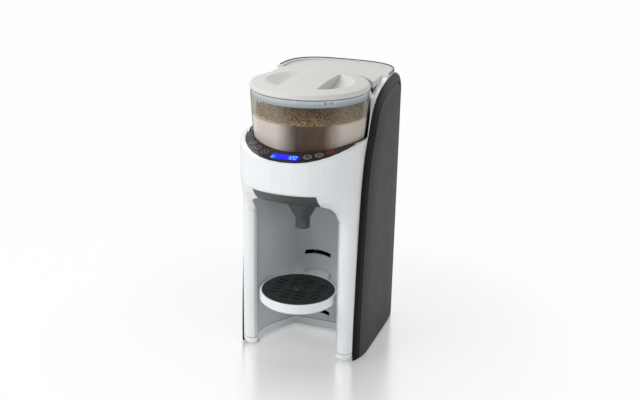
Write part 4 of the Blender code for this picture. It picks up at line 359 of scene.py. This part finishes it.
def moulded(name, colour, roughness, grain=0.0, peel=0.0, coat=0.0, mottle=0.03, spec=0.5, seam=None):
    """Moulded plastic: a little uneven in tone and gloss, with a fine grain or a faint orange peel.

    Seam is the height of a joint line, where the edges gather a little shade.
    """
    finish = Finish(name)
    lighter = [min(c * (1 + mottle), 1) for c in colour]
    tone = finish.blend(finish.noise(*CLOUD), opaque(colour, 1 - mottle), opaque(lighter))
    if seam is not None:
        height = finish.height()
        above = 1 - finish.ramp(height, seam, seam + SEAM_SHADE)
        line = finish.ramp(height, seam - SEAM_SHADE, seam) * above
        tone = finish.blend(line * SEAM_STRENGTH, tone, opaque(colour, SEAM_TONE_SHARE))
    rough = finish.noise(*SMUDGE) * (roughness * SMUDGE_SHARE) + roughness * SMOOTH_SHARE
    sockets = {"Base Color": tone, "Roughness": rough, "Specular IOR Level": spec, "Coat Weight": coat,
               "Coat Roughness": COAT_ROUGHNESS}
    if grain:
        sockets["Normal"] = finish.bump(finish.noise(*GRAIN), grain, SURFACE_DEPTH)
    elif peel:
        sockets["Normal"] = finish.bump(finish.noise(*PEEL), peel, SURFACE_DEPTH)
    return finish.close(finish.plastic(sockets))


def clear_plastic(name, tint, veil, side_reflection, edge_shade, gloss=0.05, filled=None, banded=None):
    """Clear wall: see-through, with a painted reflection of the studio that makes it paler towards its sides,
    and painted shade at its very edge.

    Filled is the height up to which something pale stands behind a round wall, and banded the height from
    which that wall carries its coloured band.
    """
    finish = Finish(name)
    haze = finish.noise(*HAZE)
    turned = {"Blend": 0.5}
    if filled is not None:
        outward = finish.vector("SUBTRACT", finish.place(), (0, AXIS_Y, 0))
        level = finish.vector("MULTIPLY", outward, (1, 1, 0))
        turned["Normal"] = finish.node("VectorMath", {"operation": "NORMALIZE"}, {0: level})
    slant = finish.node("LayerWeight", {}, turned, output="Facing")
    see = finish.node("BsdfTransparent", {}, {"Color": opaque(tint)})
    tone = opaque(tint)
    # Painted reflection: a pale, lit layer mixed in more towards the wall's sides
    sides = finish.ramp(slant, SIDE_FROM, SIDE_TO) * side_reflection
    if filled is not None:
        level = finish.height() + haze * FILLED_UNEVEN
        below = 1 - finish.ramp(level, filled, filled + FILLED_FADE)
        tone = finish.blend(below, EMPTY_TONE, FILLED_TONE)
        sides = sides * (below * (1 - EMPTY_VEIL_SHARE) + EMPTY_VEIL_SHARE)
    skin = finish.plastic({"Base Color": tone, "Roughness": gloss + haze * 0.03, "Specular IOR Level": 0.6})
    # Painted shade: a dark layer at the wall's very edge
    rim = finish.plastic({"Base Color": RIM_TONE, "Roughness": 0.2})
    share = sides + finish.ramp(slant, EDGE_FROM, EDGE_TO) * EDGE_VEIL + (haze * HAZE_VEIL + veil)
    wall = finish.cover(share, see, skin)
    if banded is not None:
        height = finish.height()
        # Painted highlight towards the band's top, and painted shadow in a dark line under the lid's rim
        painted_highlight = finish.ramp(height, banded + BAND_HIGHLIGHT_FROM, banded + BAND_HIGHLIGHT_TO)
        colour = finish.blend(painted_highlight, opaque(rgb("98a4aa")), opaque(rgb("c3cdd2")))
        shadow = finish.ramp(height, banded + BAND_SHADOW_FROM, banded + BAND_SHADOW_TO)
        colour = finish.blend(shadow, colour, opaque(rgb("4c5357")))
        band = finish.plastic({"Base Color": colour, "Roughness": haze * 0.05 + 0.2, "Coat Weight": 0.3})
        wall = finish.cover(finish.ramp(height, banded - BAND_SOFT, banded + BAND_SOFT), wall, band)
    return finish.close(finish.cover(finish.ramp(slant, RIM_FROM, RIM_TO) * edge_shade, wall, rim))


def brushed_metal(name, colour, roughness):
    finish = Finish(name)
    scale, detail, unevenness = BRUSHED
    stretched = finish.node("Mapping", {}, {"Vector": finish.place(), "Scale": BRUSH_STRETCH})
    lines = finish.node("TexNoise", {}, {"Vector": stretched, "Scale": scale, "Detail": detail,
                                         "Roughness": unevenness})
    tone = finish.blend(lines, opaque(colour, BRUSH_TONE_SHARE), opaque(colour))
    relief = finish.bump(lines, BRUSH_RELIEF, BRUSH_DEPTH)
    return finish.close(finish.plastic({"Base Color": tone, "Metallic": 1.0, "Normal": relief,
                                        "Roughness": lines * BRUSH_UNEVEN + roughness}))


def soft_rubber(name, colour, roughness):
    finish = Finish(name)
    tone = finish.blend(finish.noise(*DUST), opaque(colour), opaque(colour, DUST_SHARE, DUST_LIFT))
    relief = finish.bump(finish.noise(*RUBBER_GRAIN), RUBBER_RELIEF, SURFACE_DEPTH)
    return finish.close(finish.plastic({"Base Color": tone, "Roughness": roughness, "Normal": relief}))


def display_glass(name, glow_centre):
    """Lit blue liquid-crystal window, paler round its lit mark."""
    finish = Finish(name)
    tone = finish.blend(finish.noise(*DISPLAY_CLOUD), (0.004, 0.005, 0.58, 1), (0.012, 0.014, 0.78, 1))
    near = 1 - finish.ramp(finish.distance(tuple(glow_centre)), GLOW_FROM, GLOW_TO)
    tone = finish.blend(near * GLOW_SHARE, tone, (0.03, 0.30, 0.95, 1))
    return finish.close(finish.plastic({"Base Color": tone, "Roughness": 0.2, "Specular IOR Level": 0.15,
                                        "Emission Color": tone, "Emission Strength": 0.8}))


def powder_finish(name, dark, pale, grain, depth):
    """Formula powder: pale grains with browner ones between."""
    finish = Finish(name)
    grains = finish.node("TexVoronoi", {"feature": "F1"}, {"Vector": finish.place(), "Scale": grain})
    middle = [(a + b) / 2 for a, b in zip(rgb(dark), rgb(pale))]
    base = finish.blend(finish.noise(*POWDER_CLOUD), opaque(middle), opaque(rgb(pale)))
    stops = ((0.40, (0, 0, 0)), (0.58, (1, 1, 1)))
    speck = finish.node("ValToRGB", {"stops": stops}, {"Fac": finish.noise(grain * 0.9, 3, 0.6)})
    tone = finish.blend(speck, opaque(rgb(dark)), base)
    return finish.close(finish.plastic({"Base Color": tone, "Roughness": 0.95, "Specular IOR Level": 0.1,
                                        "Normal": finish.bump(grains, depth, 0.4 * MM)}))


def printed(name, colour, strength=0.0):
    """Printed or lit marks."""
    finish = Finish(name)
    tone = finish.blend(finish.noise(*PRINT_CLOUD), opaque(colour, 0.9), opaque(colour))
    return finish.close(finish.plastic({"Base Color": tone, "Roughness": 0.4, "Emission Color": tone,
                                        "Emission Strength": strength}))


def floor_finish():
    """White floor: near the object it takes its shadow and a soft reflection, and further out it is plain."""
    finish = Finish("floor")
    seen = finish.node("LightPath", output="Is Camera Ray")
    matt = finish.plastic({"Base Color": opaque([FLOOR_TONE] * 3), "Specular IOR Level": 0.2,
                           "Roughness": finish.noise(*FLOOR_CLOUD) * 0.05 + 0.5})
    white = finish.node("Emission", {}, {"Color": opaque([1] * 3), "Strength": 1.0})
    mirror = finish.node("BsdfAnisotropic", {}, {"Color": opaque([MIRROR_TONE] * 3),
                                                 "Roughness": MIRROR_ROUGHNESS})
    near = 1 - finish.ramp(finish.distance((0, 0, 0)), FLOOR_FADE_FROM, FLOOR_FADE_TO)
    lit = finish.cover(seen * (FLOOR_WHITE - near * FLOOR_SHADOW), matt, white)
    return finish.close(finish.cover(seen * near * FLOOR_MIRROR, lit, mirror))


display_low, display_high = (Vector(corner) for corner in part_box("lcd_display"))
drop_place = display_low + Vector((GLOW_RIGHT, GLOW_BACK, GLOW_UP))
powder_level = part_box("formula_powder")[1][2]
band_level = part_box("lid_band")[0][2]

shell_white = moulded("shell_white", rgb("f0f3f5"), 0.24, peel=0.05, coat=0.35, mottle=0.012, seam=SEAM_Z)
satin_white = moulded("satin_white", rgb("dad9d5"), 0.40, grain=0.06, mottle=0.012, spec=0.35)
# Painted shade: the bay's lining is the shell's white plastic, made greyer for the shade inside the bay
bay_white_painted_shade = moulded("bay_white_painted_shade", rgb("cbcfd1"), 0.40, grain=0.04, mottle=0.015, spec=0.35, seam=SEAM_Z)
graphite = moulded("graphite", rgb("404041"), 0.5, grain=0.25, mottle=0.05, spec=0.3)
bevel_black = moulded("bevel_black", rgb("0a0a0b"), 0.3, peel=0.03, mottle=0.1, spec=0.15)
panel_black = moulded("panel_black", rgb("150f0f"), 0.16, peel=0.02, coat=0.1, mottle=0.15, spec=0.2)
funnel_grey = moulded("funnel_grey", rgb("454748"), 0.42, grain=0.2, mottle=0.04)
grille_black = moulded("grille_black", rgb("1d2021"), 0.42, grain=0.2, mottle=0.06, spec=0.35)
button_black = moulded("button_black", rgb("171212"), 0.25, peel=0.03, coat=0.1, mottle=0.1, spec=0.2)
band_blue = moulded("band_blue", rgb("a9b8bf"), 0.22, peel=0.02, coat=0.4, mottle=0.02)
inner_grey = moulded("inner_grey", rgb("8a8d8e"), 0.5, grain=0.2)
acetal_white = moulded("acetal_white", rgb("e3e2dd"), 0.42, grain=0.05)
board_green = moulded("board_green", rgb("2c6a40"), 0.4, grain=0.1)
clear_wall = clear_plastic("clear_wall", (0.96, 0.965, 0.96), 0.02, 0.6, 0.85, filled=powder_level,
                           banded=band_level)
smoked_wall = clear_plastic("smoked_wall", (0.34, 0.36, 0.38), 0.25, 0.3, 0.6, 0.08)
plain_steel = brushed_metal("plain_steel", rgb("b9bbbd"), 0.28)
gland_rubber = soft_rubber("gland_rubber", rgb("252525"), 0.85)
foot_rubber = soft_rubber("foot_rubber", rgb("a9abac"), 0.8)
edging_black = soft_rubber("edging_black", rgb("1c1c1d"), 0.6)
pale_silicone = soft_rubber("pale_silicone", rgb("b9b8b2"), 0.5)
seal_grey = soft_rubber("seal_grey", rgb("5d6466"), 0.5)
display_blue = display_glass("display_blue", drop_place)
powder_top = powder_finish("powder_top", "86643c", "f0d9b4", 330, 0.8)
# Painted reflection: the powder's side is a darker, browner copy of the powder, for the dark reflection
# across the wall's middle
powder_side_painted_dark = powder_finish("powder_side_painted_dark", "7a634b", "9a8268", 900, 0.2)
mark_grey = printed("mark_grey", rgb("b9b4b1"))
mark_dim = printed("mark_dim", rgb("7d7674"))
mark_red = printed("mark_red", rgb("b8303c"))
mark_dark = printed("mark_dark", rgb("26292b"))
digit_cyan = printed("digit_cyan", rgb("7fd6f2"), 0.8)

DRESS = {
    shell_white: ("front_shell", "base_plinth", "drip_tray"),
    bay_white_painted_shade: ("bay_liner",),
    satin_white: ("powder_lid", "tank_lid"),
    graphite: ("side_panel_left", "side_panel_right", "rear_cover"),
    bevel_black: ("side_trim_left", "side_trim_right"),
    panel_black: ("control_panel", "container_seat"),
    funnel_grey: ("funnel",),
    grille_black: ("drip_grille",),
    button_black: ("button_1", "button_2", "button_3", "button_4", "button_5", "button_6"),
    band_blue: ("lid_band",),
    inner_grey: ("tank_shelf", "motor_deck", "tank_socket", "water_pump", "water_nozzle"),
    seal_grey: ("lid_seal",),
    acetal_white: ("motor_pinion", "drive_gear", "dosing_wheel", "stir_wheel"),
    board_green: ("main_board", "display_board"),
    clear_wall: ("powder_container",),
    smoked_wall: ("water_tank",),
    plain_steel: ("gear_motor", "boiler", "valve_spring", "tank_hinge_pin",
                  *[name for name in nodes if name.startswith(("base_screw", "cover_screw"))]),
    gland_rubber: ("cord_gland",),
    foot_rubber: ("rubber_foot_1", "rubber_foot_2", "rubber_foot_3", "rubber_foot_4"),
    pale_silicone: ("tank_valve", "inlet_tube", "pump_tube", "outlet_tube"),
    display_blue: ("lcd_display",),
    powder_side_painted_dark: ("formula_powder",),
}


def dress_nodes():
    for material, names in DRESS.items():
        for name in names:
            nodes[name].data.materials.clear()
            nodes[name].data.materials.append(material)


# Studio

def add_camera():
    right = Vector((math.cos(CAMERA_AZIMUTH), math.sin(CAMERA_AZIMUTH), 0))
    back = Vector((math.sin(CAMERA_AZIMUTH) * math.cos(CAMERA_PITCH),
                   -math.cos(CAMERA_AZIMUTH) * math.cos(CAMERA_PITCH), math.sin(CAMERA_PITCH)))
    up = back.cross(right)
    aim = Vector((0, AXIS_Y, CAMERA_AIM_HEIGHT)) + right * CAMERA_AIM_RIGHT + up * CAMERA_AIM_UP
    turned_right = right * math.cos(CAMERA_ROLL) + up * math.sin(CAMERA_ROLL)
    turned_up = up * math.cos(CAMERA_ROLL) - right * math.sin(CAMERA_ROLL)
    place = aim + back * CAMERA_DISTANCE
    data = bpy.data.cameras.new("camera")
    data.sensor_width = SENSOR
    data.lens = SENSOR * FOCAL_PIXELS / PHOTO_WIDTH
    camera = bpy.data.objects.new("camera", data)
    rows = [[turned_right[k], turned_up[k], back[k], place[k]] for k in range(3)]
    camera.matrix_world = Matrix(rows + [[0, 0, 0, 1]])
    bpy.context.scene.collection.objects.link(camera)
    bpy.context.scene.camera = camera


def add_lamp(name, place, size, watts):
    data = bpy.data.lights.new(name, "AREA")
    data.shape = "RECTANGLE"
    data.size, data.size_y = size
    data.energy = watts
    lamp = bpy.data.objects.new(name, data)
    lamp.location = place
    lamp.rotation_euler = (Vector(LAMP_AIM) - Vector(place)).to_track_quat("-Z", "Y").to_euler()
    bpy.context.scene.collection.objects.link(lamp)


def add_world():
    """Soft light all round, seen as plain white."""
    world = bpy.data.worlds.new("studio")
    world.use_nodes = True
    tree = Tree(world.node_tree)
    dim = tree.node("Background", {}, {"Color": opaque([1] * 3), "Strength": WORLD_LIGHT})
    bright = tree.node("Background", {}, {"Color": opaque([1] * 3), "Strength": 1.0})
    glossy = tree.node("LightPath", output="Is Glossy Ray")
    through = glossy.maths("MAXIMUM", glossy, tree.node("LightPath", output="Is Transmission Ray"))
    seen = glossy.maths("MAXIMUM", tree.node("LightPath", output="Is Camera Ray"), through)
    mix = tree.node("MixShader", {}, {0: seen, 1: dim, 2: bright})
    tree.node("OutputWorld", {}, {"Surface": mix})
    bpy.context.scene.world = world
    bpy.context.scene.view_settings.view_transform = "Standard"


def add_floor():
    mesh = bpy.data.meshes.new("floor")
    corners = [(-FLOOR_REACH, -FLOOR_REACH, 0), (FLOOR_REACH, -FLOOR_REACH, 0),
               (FLOOR_REACH, FLOOR_REACH, 0), (-FLOOR_REACH, FLOOR_REACH, 0)]
    mesh.from_pydata(corners, [], [(0, 1, 2, 3)])
    mesh.materials.append(floor_finish())
    floor = bpy.data.objects.new("floor", mesh)
    bpy.context.scene.collection.objects.link(floor)


# Marks and small pieces

def probe(name):
    """A CAD node's faces, to find the places on them."""
    mesh = nodes[name].data
    places = [v.co for v in mesh.vertices]
    return BVHTree.FromPolygons(places, [tuple(face.vertices) for face in mesh.polygons])


def under(tree, x, y, middle):
    """Place and direction of the surface straight under a point, or under the next one towards the middle."""
    start = Vector((x, y, ABOVE))
    end = Vector((middle.x, middle.y, ABOVE))
    for _ in range(SEARCH_STEPS):
        place, facing, _, _ = tree.ray_cast(start, Vector((0, 0, -1)))
        if place is not None:
            break
        start += (end - start) * SEARCH_SHARE
    return place, facing


def round_axis(tree, angle, z):
    """Place and direction of a surface round the container's axis, from the front towards +X."""
    out = Vector((math.sin(angle), -math.cos(angle), 0))
    place, facing, _, _ = tree.ray_cast(Vector((0, AXIS_Y, z)) + out, -out)
    return place, facing


def add_ribbon(mesh, first, second, closed, proud=MARK_PROUD):
    """Thin strip between two rows of (place, direction), standing proud of what carries it."""
    rows = []
    for row in (first, second):
        rows.append([[mesh.verts.new(place + facing * height) for place, facing in row]
                     for height in (MARK_SINK, proud)])
    (a_low, a_high), (b_low, b_high) = rows
    count = len(first)
    for k in range(count if closed else count - 1):
        n = (k + 1) % count
        mesh.faces.new((a_high[k], a_high[n], b_high[n], b_high[k]))
        mesh.faces.new((a_low[k], b_low[k], b_low[n], a_low[n]))
        mesh.faces.new((a_low[k], a_low[n], a_high[n], a_high[k]))
        mesh.faces.new((b_low[n], b_low[k], b_high[k], b_high[n]))
    if not closed:
        mesh.faces.new((a_low[0], a_high[0], b_high[0], b_low[0]))
        mesh.faces.new((a_low[-1], b_low[-1], b_high[-1], a_high[-1]))


def add_stroke(mesh, settle, points, width, closed=False):
    """Line of a width through flat points, each settled on its surface."""
    first, second = [], []
    count = len(points)
    for k, (u, v) in enumerate(points):
        before = points[k - 1] if closed or k else points[k]
        after = points[(k + 1) % count] if closed or k < count - 1 else points[k]
        run, rise = after[0] - before[0], after[1] - before[1]
        length = math.hypot(run, rise)
        across, up = -rise / length * width / 2, run / length * width / 2
        first.append(settle(u + across, v + up))
        second.append(settle(u - across, v - up))
    add_ribbon(mesh, first, second, closed)


def add_signs(mesh, settle, signs):
    for points, closed in signs:
        add_stroke(mesh, settle, [(u * MM, v * MM) for u, v in points], SIGN_WIDTH, closed)


def finished(name, mesh, material, body):
    """Close a piece: its faces outwards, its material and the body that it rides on."""
    bmesh.ops.recalc_face_normals(mesh, faces=mesh.faces)
    data = bpy.data.meshes.new(name)
    mesh.to_mesh(data)
    mesh.free()
    data.materials.append(material)
    piece = bpy.data.objects.new(name, data)
    bpy.context.scene.collection.objects.link(piece)
    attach(piece, body)


def arc(centre, half_u, half_v, start, end, steps):
    """Flat points along part of an oval, its angles in degrees."""
    found = []
    for k in range(steps + 1):
        angle = math.radians(start + (end - start) * k / steps)
        found.append((centre[0] + half_u * math.cos(angle), centre[1] + half_v * math.sin(angle)))
    return found


# Lines of each button's sign, in millimetres from the button's middle; True closes the line
BUTTON_SIGNS = {
    1: (([(-2.0, 1.2), (0.2, -1.0), (2.0, 1.4)], False),),
    2: (([(-1.6, -1.2), (0, 1.2), (1.6, -1.2)], True),),
    3: ((arc((0, -0.9), 2.2, 2.2, 20, 165, 8), False),
        ([(-2.9, 0.6), (-2.1, -0.6), (-1.1, 0.3)], False)),
    4: (([(-2.9, -0.4), (-1.5, -0.4)], False),
        ([(-0.8, -0.4), (0.8, -0.4)], False),
        ([(1.5, -0.4), (2.9, -0.4)], False)),
    5: (([(-2.8, -0.6), (-1.2, 0.6), (0.6, -0.6), (2.6, 0.4)], False),),
    6: (([(-2.8, 0.8), (-0.6, 0.3)], False),
        ([(-0.2, 0.2), (2.6, -1.1)], False)),
}


def button_colour(index):
    if index == RED_BUTTON:
        return mark_red
    return mark_grey if index > LAST_LEFT_BUTTON else mark_dim


def add_button_marks():
    for index in range(1, BUTTON_COUNT + 1):
        name = "button_%d" % index
        low, high = (Vector(corner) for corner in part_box(name))
        middle = (low + high) / 2
        turn = math.atan2(middle.x, -(middle.y - AXIS_Y)) * BUTTON_TURN
        tree = probe(name)

        def settle(u, v):
            x = middle.x + u * math.cos(turn) - v * math.sin(turn)
            y = middle.y + u * math.sin(turn) + v * math.cos(turn)
            return under(tree, x, y, middle)

        mesh = bmesh.new()
        oval = arc((0, 0), RING_HALF, RING_DEPTH_HALF, 0, 360 - 360 / RING_STEPS, RING_STEPS - 1)
        add_stroke(mesh, settle, oval, RING_WIDTH, closed=True)
        finished("button_ring_%d" % index, mesh, button_colour(index), "key_%d" % index)
        mesh = bmesh.new()
        add_signs(mesh, settle, BUTTON_SIGNS[index])
        finished("button_sign_%d" % index, mesh, button_colour(index), "key_%d" % index)


def add_display_marks():
    tree = probe("lcd_display")
    middle = (display_low + display_high) / 2
    depth = display_high.y - display_low.y

    def settle(u, v):
        return under(tree, middle.x + u, middle.y + v, middle)

    mesh = bmesh.new()
    for place, digit in enumerate(DISPLAY_DIGITS):
        left = DIGIT_START + place * DIGIT_PITCH
        for segment in DIGIT_SEGMENTS[digit]:
            ends = [(left + DIGIT_WIDTH * u + DIGIT_LEAN * v, (v - 0.5) * depth * DIGIT_SHARE)
                    for u, v in SEGMENT_ENDS[segment]]
            add_stroke(mesh, settle, ends, DIGIT_STROKE)
    finished("display_digits", mesh, digit_cyan, "housing")
    mesh = bmesh.new()
    tip = drop_place - middle
    for width, points in DROP_STROKES:
        add_stroke(mesh, settle, [(tip.x + u, tip.y + v) for u, v in points], width)
    finished("display_drop", mesh, digit_cyan, "housing")


def add_band_marks():
    """Open and closed lock signs with an arrow between them, printed on the container's band."""
    tree = probe("powder_container")
    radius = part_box("powder_container")[1][0]

    def settle(u, v):
        return round_axis(tree, BAND_MARK_ANGLE + u / radius, BAND_MARK_Z + v)

    mesh = bmesh.new()
    add_signs(mesh, settle, BAND_SIGNS)
    finished("band_marks", mesh, mark_dark, "container")


def add_lid_edging():
    """Dark edging strip on the water tank's lid, along its rear edge and corners."""
    tree = probe("tank_lid")
    low, high = (Vector(corner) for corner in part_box("tank_lid"))
    middle = Vector(((low.x + high.x) / 2, (low.y + high.y) / 2, (high.z * 3 + low.z) / 4))
    outer, inner = [], []
    for step in range(EDGING_STEPS + 1):
        angle = math.radians(EDGING_START + (180 - 2 * EDGING_START) * step / EDGING_STEPS)
        out = Vector((math.cos(angle), math.sin(angle), 0))
        edge, _, _, _ = tree.ray_cast(middle + out * EDGING_PROBE, -out)
        for row, depth in ((outer, EDGING_INSET), (inner, EDGING_INSET + EDGING_WIDTH)):
            place = edge - out * depth
            top, _ = under(tree, place.x, place.y, middle)
            row.append((top, Vector((0, 0, 1))))
    mesh = bmesh.new()
    add_ribbon(mesh, outer, inner, False, EDGING_RISE)
    finished("tank_lid_edging", mesh, edging_black, "tank_cover")


def powder_scatter():
    """Geometry nodes that strew crumbs over the powder's upper face."""
    group = bpy.data.node_groups.new("crumbs", "GeometryNodeTree")
    group.is_modifier = True
    for name, kind in (("Powder", "NodeSocketGeometry"), ("Density", "NodeSocketFloat"),
                       ("Crumb Radius", "NodeSocketFloat"), ("Finish", "NodeSocketMaterial")):
        group.interface.new_socket(name, in_out="INPUT", socket_type=kind)
    group.interface.new_socket("Powder", in_out="OUTPUT", socket_type="NodeSocketGeometry")
    tree = Tree(group)

    def given(name):
        return tree.node("NodeGroupInput", output=name)

    def drawn(least, most, seed):
        return tree.node("FunctionNodeRandomValue", {"data_type": "FLOAT_VECTOR"},
                         {0: least, 1: most, "Seed": seed})

    facing = tree.node("SeparateXYZ", {}, {0: tree.node("GeometryNodeInputNormal")}, output="Z")
    upward = tree.node("FunctionNodeCompare", {"operation": "GREATER_THAN"}, {"A": facing, "B": CRUMB_FACING})
    strewn = tree.node("GeometryNodeDistributePointsOnFaces", {"distribute_method": "RANDOM"},
                       {"Mesh": given("Powder"), "Selection": upward, "Density": given("Density"),
                        "Seed": PLACE_SEED})
    crumb = tree.node("GeometryNodeMeshIcoSphere", {}, {"Radius": given("Crumb Radius"), "Subdivisions": 1})
    size = drawn(CRUMB_LEAST, CRUMB_MOST, SIZE_SEED)
    turn = drawn((0, 0, 0), (math.tau, math.tau, math.tau), TURN_SEED)
    placed = tree.node("GeometryNodeInstanceOnPoints", {},
                       {"Points": strewn, "Instance": crumb, "Rotation": turn, "Scale": size})
    joined = tree.node("GeometryNodeJoinGeometry", {}, {0: [placed, given("Powder")]})
    real = tree.node("GeometryNodeRealizeInstances", {}, {0: joined})
    coated = tree.node("GeometryNodeSetMaterial", {}, {"Geometry": real, "Material": given("Finish")})
    tree.node("NodeGroupOutput", {}, {0: coated})
    return group


def heap_mesh():
    """Closed, lumpy disc on top of the powder, higher towards the left."""
    low, high = (Vector(corner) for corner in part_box("formula_powder"))
    radius = (high.x - low.x) / 2 - HEAP_INSET
    mesh = bmesh.new()
    rows = []
    for ring in range(HEAP_RINGS + 1):
        row = []
        for step in range(HEAP_STEPS if ring else 1):
            angle = math.tau * step / HEAP_STEPS
            reach = radius * ring / HEAP_RINGS
            x, y = reach * math.cos(angle), reach * math.sin(angle)
            lump = noise.fractal(Vector((x, y, 0)) * HEAP_LUMPS, *HEAP_FRACTAL)
            rise = HEAP_RISE - HEAP_SLOPE * x / radius + HEAP_RELIEF * lump
            row.append(mesh.verts.new((x, AXIS_Y + y, high.z + max(rise, HEAP_LEAST))))
        rows.append(row)
    foot = [mesh.verts.new((v.co.x, v.co.y, high.z + HEAP_FOOT)) for v in rows[-1]]
    for step in range(HEAP_STEPS):
        n = (step + 1) % HEAP_STEPS
        mesh.faces.new((rows[0][0], rows[1][step], rows[1][n]))
        for inner, outer in zip(rows[1:], rows[2:]):
            mesh.faces.new((inner[step], outer[step], outer[n], inner[n]))
        mesh.faces.new((rows[-1][step], foot[step], foot[n], rows[-1][n]))
    mesh.faces.new(list(reversed(foot)))
    bmesh.ops.recalc_face_normals(mesh, faces=mesh.faces)
    data = bpy.data.meshes.new("powder_base")
    mesh.to_mesh(data)
    mesh.free()
    return data


def add_powder_heap():
    """Loose, crumbly top of the powder."""
    base = bpy.data.objects.new("powder_base", heap_mesh())
    bpy.context.scene.collection.objects.link(base)
    group = powder_scatter()
    modifier = base.modifiers.new("crumbs", "NODES")
    modifier.node_group = group
    sockets = {item.name: item.identifier for item in group.interface.items_tree if item.in_out == "INPUT"}
    modifier[sockets["Density"]] = CRUMB_DENSITY
    modifier[sockets["Crumb Radius"]] = CRUMB_RADIUS
    modifier[sockets["Finish"]] = powder_top
    view = bpy.context.evaluated_depsgraph_get()
    heaped = bpy.data.meshes.new_from_object(base.evaluated_get(view))
    heaped.name = "powder_heap"
    bpy.data.objects.remove(base)
    heaped.materials.clear()
    heaped.materials.append(powder_top)
    piece = bpy.data.objects.new("powder_heap", heaped)
    bpy.context.scene.collection.objects.link(piece)
    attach(piece, "container")


add_camera()
for lamp_row in LAMPS:
    add_lamp(*lamp_row)
add_world()
add_floor()
dress_nodes()
add_button_marks()
add_display_marks()
add_band_marks()
add_lid_edging()
add_powder_heap()
